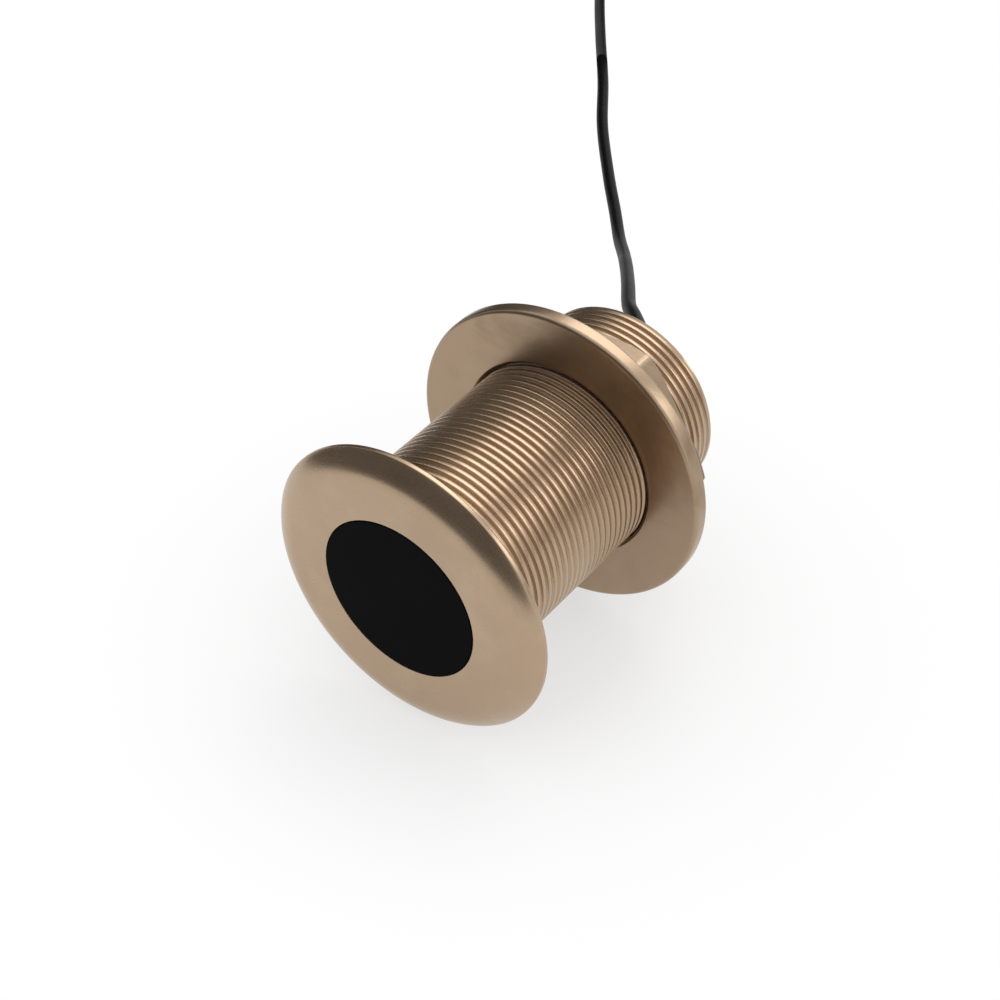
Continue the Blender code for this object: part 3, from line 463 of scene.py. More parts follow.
def cablePath(spec):
    start = axisPlace @ Vector((*cableAcross, spec["startBehindFace"]))
    tip = axisPlace @ Vector((*cableAcross, spec["exitBehindFace"]))
    centre = coilMiddle
    outer, bottom = coilEdges(spec)
    route = [Vector((x, axisStart.y + y, z)) for x, y, z in cableRoute]
    last = route[-1]
    away = (centre - last).xy.length
    touchTurn = atan2(last.y - centre.y, last.x - centre.x) - acos(outer / away)
    touch = Vector((centre.x + outer * cos(touchTurn), centre.y + outer * sin(touchTurn), bottom))
    run = smoothLine([start, start.lerp(tip, 0.5), tip] + route + [touch], spec["runStep"])
    turns = coilTurns(spec, centre, touchTurn, spec["tailAngle"])
    outward = Vector((cos(spec["tailAngle"]), sin(spec["tailAngle"]), 0))
    ahead = Vector((outward.y, -outward.x, 0))
    leave = turns[-1]
    foot = centre + outward * outer
    tail = [foot + ahead * along + Vector((0, 0, height)) for along, height in tailRoute]
    entry = foot + ahead * spec["connectorStart"] + Vector((0, 0, spec["connectorHeight"]))
    tail = smoothLine([leave] + tail + [entry, entry + ahead * spec["insideBoot"]], spec["runStep"])
    return tip, run, turns, tail


# a round tube along a line of points, turned into a mesh with its ends closed
def tubeAlong(name, line, radius, roundness):
    curve = bpy.data.curves.new(name, "CURVE")
    curve.dimensions = "3D"
    curve.bevel_depth = radius
    curve.bevel_resolution = roundness
    curve.use_fill_caps = True
    spline = curve.splines.new("POLY")
    spline.points.add(len(line) - 1)
    for point, place in zip(spline.points, line):
        point.co = (*place, 1.0)
    tube = bpy.data.objects.new(name, curve)
    bpy.context.scene.collection.objects.link(tube)
    pick(tube)
    bpy.ops.object.convert(target="MESH")
    tube = bpy.context.object
    tube.name = tube.data.name = name
    tidyMesh(tube, 0.0000005, 60)
    return tube


cableAcross = (cable["offset"] * cos(cable["offsetAngle"]), -cable["offset"] * sin(cable["offsetAngle"]))
coilMiddle = Vector((cable["coilCentre"][0], axisStart.y + cable["coilCentre"][1], 0))
cableExit, cableRun, cableTurns, cableTail = cablePath(cable)
cableLine = cableRun + cableTurns[1:] + cableTail[1:]
cableLength = sum((b - a).length for a, b in zip(cableLine, cableLine[1:]))
cablePiece = tubeAlong("blackCable", cableLine, cable["radius"], cable["roundness"])
carry(cablePiece, "cable", "cable_run", "cable_coil", "cable_tail")
print("cable laid:", round(cableLength, 3), "m")


# The bronze housing: a flange with a domed edge, a threaded stem, and one bore from end to end
housing = {
    "flatRadius": 0.0300,
    "rimRadius": 0.0372,
    "domeTilt": radians(55),
    "domeSteps": 24,
    "flangeThickness": 0.0050,
    "windowBore": 0.02075,
    "windowDepth": 0.0200,
    "stemRadius": 0.0254,
    "rootRadius": 0.0246,
    "stemEnd": 0.0893,
    "rearBore": 0.0192,
    "pitch": 0.0254 / 12,
    "profile": (
        (0.00, 1.0), (0.25, 1.0), (0.29, 0.95), (0.455, 0.10), (0.49, 0.02), (0.52, 0.0),
        (0.61, 0.0), (0.64, 0.02), (0.675, 0.10), (0.84, 0.95), (0.88, 1.0), (1.00, 1.0),
    ),
    "rootShare": 0.565,
    "phase": 1 / 72,
    "threadStart": 0.0064,
    "fillet": 0.0009,
    "runOut": 0.0012,
    "steps": 180,
}


# one pitch of the thread: a wide crest, two flanks and a rounded root, wound by a Screw modifier
def threadPiece(name, spec, start, end):
    pitch, root, depth = spec["pitch"], spec["rootRadius"], spec["stemRadius"] - spec["rootRadius"]
    points = [(root + depth * level, share * pitch) for share, level in spec["profile"]]
    below = pitch * (start // pitch - 2 - spec["rootShare"] - spec["phase"])
    piece = drawLine(name, [(radius, below + height) for radius, height in points])
    wind = piece.modifiers.new("wind", "SCREW")
    wind.angle, wind.screw_offset = tau, pitch
    wind.iterations = ceil((end - start) / pitch) + 4
    wind.steps = wind.render_steps = spec["steps"]
    applyAll(piece)
    edit(piece)
    bpy.ops.mesh.select_all(action="SELECT")
    bpy.ops.mesh.remove_doubles(threshold=0.000004)
    for height, upward in ((start, -1), (end, 1)):
        bpy.ops.mesh.select_all(action="SELECT")
        cut = {"plane_co": (0, 0, height), "plane_no": (0, 0, upward)}
        bpy.ops.mesh.bisect(**cut, clear_outer=True, threshold=0.0000001)
    bpy.ops.object.mode_set(mode="OBJECT")
    for vertex in piece.data.vertices:
        place = vertex.co
        radius = place.xy.length
        fade = min(1.0, (place.z - start) / spec["runOut"])
        held = root + (radius - root) * max(0.0, fade)
        held = min(held, root + max(0.0, end - place.z))
        place.xy *= held / radius
    return piece


def makeHousing(spec):
    stem = threadPiece("bronzeHousing", spec, spec["threadStart"], spec["stemEnd"])
    flat, rim = spec["flatRadius"], spec["rimRadius"]
    domeRadius = (rim - flat) / sin(spec["domeTilt"])
    dome = []
    for step in range(spec["domeSteps"]):
        turn = spec["domeTilt"] * step / spec["domeSteps"]
        dome.append(Vector((flat + domeRadius * sin(turn), domeRadius * (1 - cos(turn)))))
    back, bore, root = spec["flangeThickness"], spec["windowBore"], spec["rootRadius"]
    line = roundedSection([
        (root, spec["threadStart"] - 0.00005, 0),
        (root, back + spec["fillet"], 0),
        (spec["stemRadius"] + 0.0003, back, 0.0003),
        (rim, back, 0.0005),
        (rim, domeRadius * (1 - cos(spec["domeTilt"])), 0.0004),
        (*dome[-1], 0),
    ])
    line += reversed(dome[:-1])
    line += roundedSection([
        (bore + 0.0040, 0, 0),
        (bore, 0, 0.00015),
        (bore, spec["windowDepth"], 0),
        (spec["rearBore"], spec["windowDepth"], 0),
        (spec["rearBore"], spec["stemEnd"], 0.0012),
        (root - 0.00005, spec["stemEnd"], 0),
    ])
    body = turnedPiece("housingBody", line, spec["steps"])
    piece = joinPieces(stem, body)
    zipLoops(piece, spec["threadStart"] - 0.0001, spec["threadStart"] + 0.00001)
    zipLoops(piece, spec["stemEnd"] - 0.00001, spec["stemEnd"] + 0.00001)
    tidyMesh(piece)
    settle(piece, axisPlace)
    return piece


carry(makeHousing(housing), "bronze", "housing")
print("housing turned and threaded")


# The hull nut: a wide flange and a hexagon turned from one blank, with soft edges
hullNut = {
    "place": 0.0597,
    "flangeRadius": 0.03968,
    "flangeThickness": 0.0040,
    "height": 0.0153,
    "acrossFlats": 0.05715,
    "boreRadius": 0.0257,
    "boreChamfer": 0.0007,
    "edgeRound": 0.0012,
    "cornerChamfer": 0.0022,
    "softEdge": 0.0004,
    "filletRadius": 0.0008,
    "rows": 44,
    "steps": 360,
}


def softLeast(first, second, softness):
    share = max(0.0, min(1.0, 0.5 + 0.5 * (second - first) / softness))
    return second + (first - second) * share - softness * share * (1 - share)


# the hexagon's distance from the axis at one angle, with its corners slightly rounded
def hexagonReach(turn, spec):
    half, soft = spec["acrossFlats"] / 2, spec["softEdge"]
    step = tau / 6
    near = (turn + step * 10) % step - step / 2
    return softLeast(half / cos(near), half / cos(abs(near) - step), soft) if abs(near) > 0.001 else half


def makeHullNut(spec):
    start, end = spec["place"], spec["place"] + spec["height"]
    flangeEnd = start + spec["flangeThickness"]
    bore, rim = spec["boreRadius"], spec["flangeRadius"]
    corner = spec["acrossFlats"] / sqrt(3)
    line = roundedSection([
        (bore, flangeEnd, 0),
        (bore, start + spec["boreChamfer"], 0.0001),
        (bore + spec["boreChamfer"], start, 0.0002),
        (rim, start, spec["edgeRound"]),
        (rim, flangeEnd, 0.0006),
        (corner + spec["filletRadius"], flangeEnd, 0),
    ], 6)
    for row in range(spec["rows"] + 1):
        height = flangeEnd + (end - flangeEnd) * row / spec["rows"]
        reach = min(corner + 0.001, corner + (end - height) * 2 - spec["cornerChamfer"])
        line.append(Vector((reach, height)))
    line += roundedSection([
        (line[-1].x - 0.0006, end, 0),
        (bore + spec["boreChamfer"], end, 0.0002),
        (bore, end - spec["boreChamfer"], 0.0001),
        (bore, flangeEnd, 0),
    ], 6)
    piece = turnedPiece("bronzeHullNut", line, spec["steps"])
    fillet = spec["filletRadius"]
    for vertex in piece.data.vertices:
        place = vertex.co
        radius = place.xy.length
        above = place.z - flangeEnd
        if radius < bore + 0.0012 or above < -0.000001 or radius > corner + 0.0011:
            continue
        reach = softLeast(radius, hexagonReach(atan2(place.y, place.x), spec), spec["softEdge"])
        if above < fillet:
            reach += fillet - sqrt(max(0.0, fillet ** 2 - (fillet - above) ** 2))
        if above > 0 or radius <= corner + fillet + 0.000001:
            place.xy *= min(reach, radius + fillet) / radius
    tidyMesh(piece)
    settle(piece, axisPlace)
    return piece


carry(makeHullNut(hullNut), "nut_bronze", "hull_nut")
print("hull nut made")


# The acoustic window: moulded flush, with a fine line round it where the mould met the bronze
window = {
    "radius": 0.02052,
    "edgeRound": 0.00035,
    "thickness": 0.0034,
    "sag": 0.00012,
    "rows": 12,
    "steps": 144,
}


def makeWindow(spec):
    line = []
    for step in range(spec["rows"] + 1):
        radius = (spec["radius"] - spec["edgeRound"]) * step / spec["rows"]
        line.append(Vector((radius, spec["sag"] * (1 - (radius / spec["radius"]) ** 2))))
    line += roundedSection([
        (spec["radius"] - spec["edgeRound"], 0, 0),
        (spec["radius"], 0, spec["edgeRound"]),
        (spec["radius"], spec["thickness"], 0),
        (0, spec["thickness"], 0),
    ], 6)
    piece = turnedPiece("acousticWindow", line, spec["steps"])
    tidyMesh(piece)
    settle(piece, axisPlace)
    return piece


carry(makeWindow(window), "window", "acoustic_window")
print("window made")


# The rear end: potting that wets the bore's wall, and a ribbed relief moulded on the cable
rearEnd = {
    "pottingStart": 0.0765,
    "pottingEnd": 0.0868,
    "boreRadius": 0.0189,
    "meniscus": 0.0011,
    "meniscusReach": 0.0026,
    "surfaceSteps": 24,
    "dip": 0.0002,
    "cableHole": 0.0023,
    "reliefStart": 0.0871,
    "reliefLength": 0.0125,
    "footRadius": 0.0068,
    "footHeight": 0.0016,
    "baseRadius": 0.0050,
    "tipRadius": 0.0033,
    "ribs": 5,
    "ribDepth": 0.00035,
    "rowStep": 0.00012,
}


def makePotting(spec):
    end, bore = spec["pottingEnd"], spec["boreRadius"]
    line = [Vector((0, spec["pottingStart"])), Vector((bore, spec["pottingStart"]))]
    for step in range(spec["surfaceSteps"] + 1):
        radius = bore * (1 - step / spec["surfaceSteps"])
        creep = max(0.0, 1 - (bore - radius) / spec["meniscusReach"]) ** 3
        dip = spec["dip"] * (1 - (radius / bore) ** 2)
        line.append(Vector((radius, end - dip + spec["meniscus"] * creep)))
    piece = turnedPiece("rearPotting", line, 144)
    tidyMesh(piece)
    settle(piece, axisPlace)
    return piece


def makeRelief(spec, place):
    start, foot, length = spec["reliefStart"], spec["footHeight"], spec["reliefLength"]
    line = roundedSection([
        (spec["cableHole"], start, 0),
        (spec["footRadius"], start, 0.0002),
        (spec["footRadius"], start + foot, 0.0006),
        (spec["baseRadius"] + 0.0006, start + foot * 1.6, 0.0008),
        (spec["baseRadius"] + 0.0001, start + foot * 2.1, 0),
    ], 5)
    low, high = start + foot * 2.1, start + length - 0.0007
    count = int((high - low) / spec["rowStep"])
    for row in range(1, count + 1):
        share = row / count
        radius = spec["baseRadius"] + (spec["tipRadius"] - spec["baseRadius"]) * share
        groove = max(0.0, cos(tau * spec["ribs"] * share) * -1) ** 0.6
        line.append(Vector((radius - spec["ribDepth"] * groove, low + (high - low) * share)))
    line += roundedSection([
        (line[-1].x, high, 0),
        (spec["tipRadius"], start + length, 0.0005),
        (spec["cableHole"] - 0.0001, start + length, 0.0001),
        (spec["cableHole"] - 0.0001, start + length - 0.001, 0),
        (spec["cableHole"], start, 0),
    ], 5)
    piece = turnedPiece("strainRelief", line, 72)
    tidyMesh(piece)
    settle(piece, axisPlace @ Matrix.Translation(place))
    return piece


carry(makePotting(rearEnd), "potting", "rear_potting")
carry(makeRelief(rearEnd, (*cableAcross, 0)), "cable", "strain_relief")
print("rear end made")


# The coil's two straps: a woven band round the turns
strap = {
    "thickness": 0.0009,
    "gap": 0.0003,
    "width": 0.0118,
    "corner": 0.0022,
    "angles": (radians(-35), radians(145)),
    "softEdge": 0.00025,
    "lift": 0.7,
    "steps": 12,
    "cornerSteps": 5,
}


def strapOutline(spec, extra):
    halfWide = cable["columns"] * cable["radius"] + extra
    halfHigh = cable["rows"] * cable["radius"] + extra
    middle = cable["strap"] + cable["gap"] + cable["rows"] * cable["radius"]
    corner = spec["corner"] + extra
    line = []
    for number, (x, z) in enumerate(((1, -1), (1, 1), (-1, 1), (-1, -1))):
        centre = Vector((x * (halfWide - corner), z * (halfHigh - corner)))
        for step in range(spec["cornerSteps"] + 1):
            turn = pi / 2 * (number - 1 + step / spec["cornerSteps"])
            line.append(centre + Vector((cos(turn), sin(turn))) * corner)
    return [Vector((cable["coilRadius"] + place.x, middle + place.y)) for place in line]


def makeStrap(name, turn, spec, centre):
    half = spec["width"] / 2 / cable["coilRadius"]
    inside = strapOutline(spec, spec["gap"] * spec["lift"])
    outside = strapOutline(spec, spec["gap"] * spec["lift"] + spec["thickness"])
    vertices, faces = [], []
    rows, count = spec["steps"] + 1, len(inside)
    for outline in (inside, outside):
        for row in range(rows):
            angle = turn - half + 2 * half * row / spec["steps"]
            for place in outline:
                vertices.append((place.x * cos(angle), place.x * sin(angle), place.y))
    for layer in (0, 1):
        for row in range(rows - 1):
            for index in range(count):
                following = (index + 1) % count
                first = (layer * rows + row) * count
                above = first + count
                faces.append((first + index, first + following, above + following, above + index))
    for row in (0, rows - 1):
        for index in range(count):
            following = (index + 1) % count
            inner, outer = row * count, (rows + row) * count
            faces.append((inner + index, inner + following, outer + following, outer + index))
    mesh = bpy.data.meshes.new(name)
    mesh.from_pydata(vertices, [], faces)
    piece = bpy.data.objects.new(name, mesh)
    bpy.context.scene.collection.objects.link(piece)
    tidyMesh(piece)
    edges = piece.modifiers.new("softEdges", "BEVEL")
    edges.width, edges.segments = spec["softEdge"], 2
    edges.limit_method, edges.angle_limit = "ANGLE", radians(60)
    applyAll(piece)
    tidyMesh(piece)
    settle(piece, Matrix.Translation(centre))
    return piece


strapPieces = []
for number, turn in enumerate(strap["angles"], 1):
    strapPieces.append(makeStrap(f"coilStrap{number}", turn, strap, coilMiddle))
    carry(strapPieces[-1], "strap", f"coil_strap_{number}")
print("straps made")


# The connector at the cable's end, modelled upright and laid down along +X
connector = {
    "bootLength": 0.0200,
    "bootTip": 0.0030,
    "bootBase": 0.0060,
    "bootGrooves": 4,
    "bootGrooveDepth": 0.0007,
    "bootEdge": 0.0003,
    "bootRows": 96,
    "bodyRadius": 0.0068,
    "collarRadius": 0.0085,
    "collarStart": 0.0035,
    "collarLength": 0.0020,
    "bodyLength": 0.0185,
    "socketRadius": 0.0054,
    "socketDepth": 0.0100,
    "ringRadius": 0.0095,
    "ringWall": 0.0006,
    "ringLength": 0.0120,
    "ringRibs": 12,
    "ringSteepness": 1.6,
    "insertThickness": 0.0035,
    "pinCircle": 0.0030,
    "pinRadius": 0.0005,
    "pinLength": 0.0058,
    "pins": 5,
    "gap": 0.0003,
    "cableGap": 0.0001,
}


def makeConnector(spec, place):
    made = {}
    tip, base, length = spec["bootTip"], spec["bootBase"], spec["bootLength"]
    hole, depth = cable["radius"] + spec["cableGap"], cable["insideBoot"] + spec["gap"]
    line = [Vector((0, depth)), Vector((hole, depth)), Vector((hole, 0))]
    line += [Vector((tip - spec["bootEdge"], 0)), Vector((tip, spec["bootEdge"]))]
    edge, rows = spec["bootEdge"], spec["bootRows"]
    for row in range(1, rows + 1):
        height = edge + (length - edge * 2) * row / rows
        radius = tip + (base - tip) * height / length
        wave = cos(tau * height / (length / (spec["bootGrooves"] + 1)))
        line.append(Vector((radius - spec["bootGrooveDepth"] * max(0.0, -wave) ** 0.5, height)))
    line += [Vector((line[-1].x - edge, length)), Vector((0, length))]
    made["connectorBoot"] = turnedPiece("connectorBoot", line, 72)
    start = length + spec["gap"]
    collar, end = start + spec["collarStart"], start + spec["bodyLength"]
    body, socket, floorHeight = spec["bodyRadius"], spec["socketRadius"], end - spec["socketDepth"]
    line = roundedSection([
        (0, start, 0),
        (body, start, 0.0004),
        (body, collar, 0.0002),
        (spec["collarRadius"], collar, 0.0004),
        (spec["collarRadius"], collar + spec["collarLength"], 0.0004),
        (body, collar + spec["collarLength"], 0.0002),
        (body, end, 0.0004),
        (socket, end, 0.0003),
        (socket, floorHeight, 0.0002),
        (0, floorHeight, 0),
    ])
    made["connectorBody"] = turnedPiece("connectorBody", line, 96)
    ringStart = collar + spec["collarLength"] + spec["gap"]
    ringEnd = ringStart + spec["ringLength"]
    hole, outer = body + spec["gap"], spec["ringRadius"]
    line = roundedSection([
        (hole, ringStart + 0.004, 0),
        (hole, ringStart, 0.0003),
        (outer, ringStart, 0.0007),
        (outer, ringEnd, 0.0007),
        (hole, ringEnd, 0.0003),
        (hole, ringStart + 0.004, 0),
    ], 6)
    ring = turnedPiece("couplingRing", line, 240)
    for vertex in ring.data.vertices:
        radius = vertex.co.xy.length
        if radius > hole + 0.0005:
            wave = cos(spec["ringRibs"] * atan2(vertex.co.y, vertex.co.x))
            valley = smoothShare(0.5 - wave * spec["ringSteepness"])
            share = (radius - hole) / (outer - hole)
            vertex.co.xy *= 1 - spec["ringWall"] * valley * share / radius
    made["couplingRing"] = ring
    insertStart = floorHeight + spec["gap"]
    insertEnd = insertStart + spec["insertThickness"]
    reach = socket - spec["gap"]
    line = roundedSection([
        (0, insertStart, 0),
        (reach, insertStart, 0.0002),
        (reach, insertEnd, 0.0004),
        (0, insertEnd, 0),
    ])
    made["contactInsert"] = turnedPiece("contactInsert", line, 72)
    for number in range(spec["pins"]):
        turn = tau * number / spec["pins"]
        line = roundedSection([
            (0, 0, 0),
            (spec["pinRadius"], 0, 0),
            (spec["pinRadius"], spec["pinLength"] - 0.0006, 0.0003),
            (spec["pinRadius"] * 0.45, spec["pinLength"], 0.0002),
            (0, spec["pinLength"], 0),
        ])
        pin = turnedPiece(f"contactPin{number + 1}", line, 24)
        across = (spec["pinCircle"] * cos(turn), spec["pinCircle"] * sin(turn), insertEnd + spec["gap"])
        pin.data.transform(Matrix.Translation(across))
        made[f"contactPin{number + 1}"] = pin
    for piece in made.values():
        tidyMesh(piece)
        settle(piece, place)
    return made


connectorStart = (coilMiddle.x + cable["connectorStart"], cableTail[-1].y, cable["connectorHeight"])
connectorPlace = Matrix.Translation(connectorStart) @ Matrix.Rotation(pi / 2, 4, "Y")
connectorPieces = makeConnector(connector, connectorPlace)
carry(connectorPieces["connectorBoot"], "cable", "connector_boot")
carry(connectorPieces["connectorBody"], "connector", "connector_body")
carry(connectorPieces["couplingRing"], "connector", "coupling_ring")
carry(connectorPieces["contactInsert"], "insert", "contact_insert")
for number in range(1, connector["pins"] + 1):
    carry(connectorPieces[f"contactPin{number}"], "contact", f"contact_pin_{number}")
print("connector made")


# Finishes. The bronze is turned, so its fine marks run round the product's own axis.
bronze = {
    "colour": (0.445, 0.322, 0.218),
    "pale": (0.51, 0.382, 0.27),
    "deep": (0.27, 0.18, 0.112),
    "metallic": 0.92,
    "roughness": 0.27,
    "marks": 0.00010,
    # the nut's bronze colour darkened all over: painted shade
    "nutPaintedShade": 0.86,
}


def axisCoordinates(bench):
    local = bench.place(tuple(axisStart), (axisTurn, 0, 0))
    x, y, z = bench.split(local)
    radius = (x * x + y * y).root()
    return local, x, y, z, radius


def bronzeFinish(name, spec, cast):
    bench = Bench(name)
    local, x, _, z, radius = axisCoordinates(bench)
    around = bench.node("ShaderNodeCombineXYZ", None, {0: radius * 2600, 1: z * 2600, 2: x * 14})
    marks = bench.noise(around, 1.0, 3.0, 0.6)
    cloud = bench.noise(local, 70.0, 4.0, 0.6)
    blotch = bench.noise(local, 38.0 if cast else 24.0, 4.0, 0.6, 0.5)
    grain = bench.noise(local, 1900.0, 2.0, 0.6)
    # painted shade: the nut's colours are darkened all over, the housing's are not
    paintedShade = spec["nutPaintedShade"] if cast else 1.0
    base, pale, deep = ((*(paintedShade * value for value in spec[key]), 1) for key in ("colour", "pale", "deep"))
    shade = bench.blend(base, pale, cloud.smooth(0.42, 0.72) * 0.55)
    shade = bench.blend(shade, deep, blotch.smooth(0.48, 0.70) * (0.55 if cast else 0.16))
    shade = bench.blend(shade, deep, (1 - marks).smooth(0.52, 0.72) * 0.07)
    rough = spec["roughness"] + (marks - 0.5) * 0.08 + (cloud - 0.5) * 0.08 + (0.03 if cast else 0.0)
    relief = bench.bump(marks, spec["marks"] * 0.12, 0.4)
    relief = bench.bump(grain, spec["marks"] * (0.6 if cast else 0.3), 0.35, relief)
    return bench.finish(shade, rough, relief, {"Metallic": spec["metallic"]})


def rubberFinish(name, colour, roughness, grainScale, cloudShare=0.3, grainDepth=0.00003, shine=0.5):
    bench = Bench(name)
    coords = bench.coords()
    grain = bench.noise(coords, grainScale, 3.0, 0.6)
    cloud = bench.noise(coords, 60.0, 3.0, 0.55)
    pale = tuple(min(1.0, value * 2.2 + 0.004) for value in colour)
    shade = bench.blend((*colour, 1), (*pale, 1), cloud.smooth(0.45, 0.8) * cloudShare)
    rough = roughness + (cloud - 0.5) * 0.18 + (grain - 0.5) * 0.10
    return bench.finish(shade, rough, bench.bump(grain, grainDepth, 0.5), {"Specular IOR Level": shine})


def metalFinish(name, colour, dark, roughness, scale=900.0):
    bench = Bench(name)
    coords = bench.coords()
    grain = bench.noise(coords, scale, 3.0, 0.6)
    cloud = bench.noise(coords, 180.0, 3.0, 0.55)
    shade = bench.blend((*colour, 1), (*dark, 1), cloud.smooth(0.5, 0.8) * 0.5)
    rough = roughness + (grain - 0.5) * 0.15 + (cloud - 0.5) * 0.1
    return bench.finish(shade, rough, bench.bump(grain, 0.00002, 0.4), {"Metallic": 1.0})


# small dark and pale specks in a pressed sheet
def corkFinish(name):
    bench = Bench(name)
    coords = bench.coords()
    cells = bench.node("ShaderNodeTexVoronoi", {"feature": "F1"}, {"Vector": coords, "Scale": 620.0})
    grain = bench.noise(coords, 900.0, 4.0, 0.65)
    shade = bench.blend((0.40, 0.24, 0.12, 1), (0.20, 0.10, 0.045, 1), cells.smooth(0.35, 0.75))
    shade = bench.blend(shade, (0.56, 0.39, 0.22, 1), grain.smooth(0.56, 0.74) * 0.6)
    return bench.finish(shade, 0.82 + (grain - 0.5) * 0.2, bench.bump(cells, 0.0002, 0.5))


def boardFinish(name):
    bench = Bench(name)
    local, x, y, _, radius = axisCoordinates(bench)
    weave = (x * 6283).wave() * (y * 6283).wave()
    rings = (radius * 1450).wave().above(0.82)
    grain = bench.noise(local, 1200.0, 2.0, 0.5)
    shade = bench.blend((0.045, 0.21, 0.09, 1), (0.08, 0.29, 0.13, 1), (weave * 0.5 + 0.5) * 0.5)
    shade = bench.blend(shade, (0.55, 0.36, 0.12, 1), rings * 0.6)
    return bench.finish(shade, 0.42 + (grain - 0.5) * 0.2, bench.bump(weave, 0.00002, 0.4))


# enamelled wire in close turns about the core's own axis
def windingFinish(name):
    bench = Bench(name)
    local, _, _, z, _ = axisCoordinates(bench)
    turns = (z * (tau / 0.0004)).wave()
    cloud = bench.noise(local, 400.0, 3.0, 0.6)
    shade = bench.blend((0.55, 0.20, 0.07, 1), (0.26, 0.07, 0.02, 1), (0.5 - turns * 0.5) * 0.8)
    shade = bench.blend(shade, (0.70, 0.32, 0.13, 1), cloud.smooth(0.55, 0.75) * 0.4)
    return bench.finish(shade, 0.32 + (cloud - 0.5) * 0.2, bench.bump(turns, 0.0001, 0.7), {"Metallic": 1.0})


# a woven band: ribs across its width, and a softer nap on top
def strapFinish(name):
    bench = Bench(name)
    local = bench.place(coilMiddle)
    x, y, z = bench.split(local)
    angle = bench.node("ShaderNodeMath", {"operation": "ARCTAN2"}, {0: y, 1: x})
    radius = (x * x + y * y).root()
    ribs = (angle * 0.033 * (tau / 0.0011)).wave()
    picks = ((radius + z) * (tau / 0.0007)).wave()
    nap = bench.noise(local, 1500.0, 3.0, 0.65)
    height = ribs * picks * 0.5 + 0.5
    shade = bench.blend((0.020, 0.020, 0.022, 1), (0.055, 0.055, 0.060, 1), height * 0.7 + (nap - 0.5) * 0.5)
    return bench.finish(shade, 0.78 + (nap - 0.5) * 0.2, bench.bump(height + nap, 0.00025, 0.7))


# the window: satin urethane with the mould's faint rings and a few specks
def windowFinish(name):
    bench = Bench(name)
    local, _, _, _, radius = axisCoordinates(bench)
    grain = bench.noise(local, 1500.0, 3.0, 0.6)
    cloud = bench.noise(local, 55.0, 3.0, 0.55)
    rings = (radius * (tau / 0.0016)).wave()
    shade = bench.blend((0.0006, 0.0007, 0.0009, 1), (0.0018, 0.0020, 0.0028, 1), cloud.smooth(0.4, 0.75))
    rough = 0.46 + (cloud - 0.5) * 0.14 + (grain - 0.5) * 0.08
    relief = bench.bump(rings * 0.2 + grain, 0.00002, 0.4)
    return bench.finish(shade, rough, relief, {"Specular IOR Level": 0.02})


def plainFinish(name, colour, dark, roughness, scale=500.0, depth=0.00003):
    bench = Bench(name)
    coords = bench.coords()
    grain = bench.noise(coords, scale, 4.0, 0.6)
    cloud = bench.noise(coords, scale / 6, 3.0, 0.55)
    shade = bench.blend((*colour, 1), (*dark, 1), cloud.smooth(0.45, 0.75) * 0.6)
    shade = bench.blend(shade, (*dark, 1), grain.smooth(0.62, 0.74) * 0.5)
    return bench.finish(shade, roughness + (grain - 0.5) * 0.2, bench.bump(grain, depth, 0.5))


finishes = {
    "bronze": bronzeFinish("turnedBronze", bronze, False),
    "nut_bronze": bronzeFinish("nutBronze", bronze, True),
    "window": windowFinish("windowUrethane"),
    "cork": corkFinish("pressedCork"),
    "ceramic": plainFinish("firedCeramic", (0.72, 0.66, 0.52), (0.60, 0.53, 0.40), 0.42, 700.0, 0.00002),
    "board": boardFinish("glassBoard"),
    "ferrite": plainFinish("greyFerrite", (0.060, 0.060, 0.066), (0.030, 0.030, 0.034), 0.52, 900.0),
    "winding": windingFinish("enamelledWire"),
    "brass": metalFinish("turnedBrass", (0.62, 0.45, 0.18), (0.42, 0.28, 0.10), 0.30),
    "capacitor": plainFinish("dippedCapacitor", (0.45, 0.04, 0.03), (0.32, 0.02, 0.015), 0.34, 400, 0.00005),
    "wire_red": rubberFinish("redWire", (0.50, 0.03, 0.02), 0.42, 1500.0, 0.15),
    "wire_black": rubberFinish("blackWire", (0.016, 0.016, 0.017), 0.42, 1500.0),
    "tinned_copper": metalFinish("tinnedCopper", (0.70, 0.68, 0.64), (0.50, 0.47, 0.42), 0.33, 2500.0),
    "potting": rubberFinish("blackPotting", (0.012, 0.012, 0.014), 0.30, 300.0, 0.3, 0.00008),
    "cable": rubberFinish("cableJacket", (0.003, 0.003, 0.0034), 0.46, 1400.0, 0.3, 0.00004, 0.10),
    "strap": strapFinish("wovenStrap"),
    "connector": plainFinish("connectorPlastic", (0.02, 0.02, 0.022), (0.034, 0.034, 0.037), 0.4, 1100, 0.00004),
    "insert": plainFinish("insertPlastic", (0.012, 0.012, 0.013), (0.022, 0.022, 0.024), 0.46, 1100),
    "contact": metalFinish("goldContact", (0.83, 0.62, 0.25), (0.66, 0.45, 0.15), 0.22, 2000.0),
}
slotOf = {part["node"]: part["material_slot"] for part in frame["record"]["subparts"]}
for name, item in nodes.items():
    paint(item, finishes[slotOf[name]])
for piece, slot in wornSlots:
    paint(piece, finishes[slot])
print("finishes on", len(nodes), "nodes and their pieces")


# The studio: a pale table, a white surround, two soft lamps and the dark cloths that draw the metal
studio = {
    "tableSize": 8.0,
    "tableDrop": 0.0002,
    "tableColour": (0.90, 0.90, 0.90),
    "nearReach": 0.03,
    "farReach": 0.12,
    "nearShare": 0.62,
    "surround": 1.0,
    "fill": 0.80,
    "middle": (0, 0, 0.04),
    "lampDistance": 1.5,
}


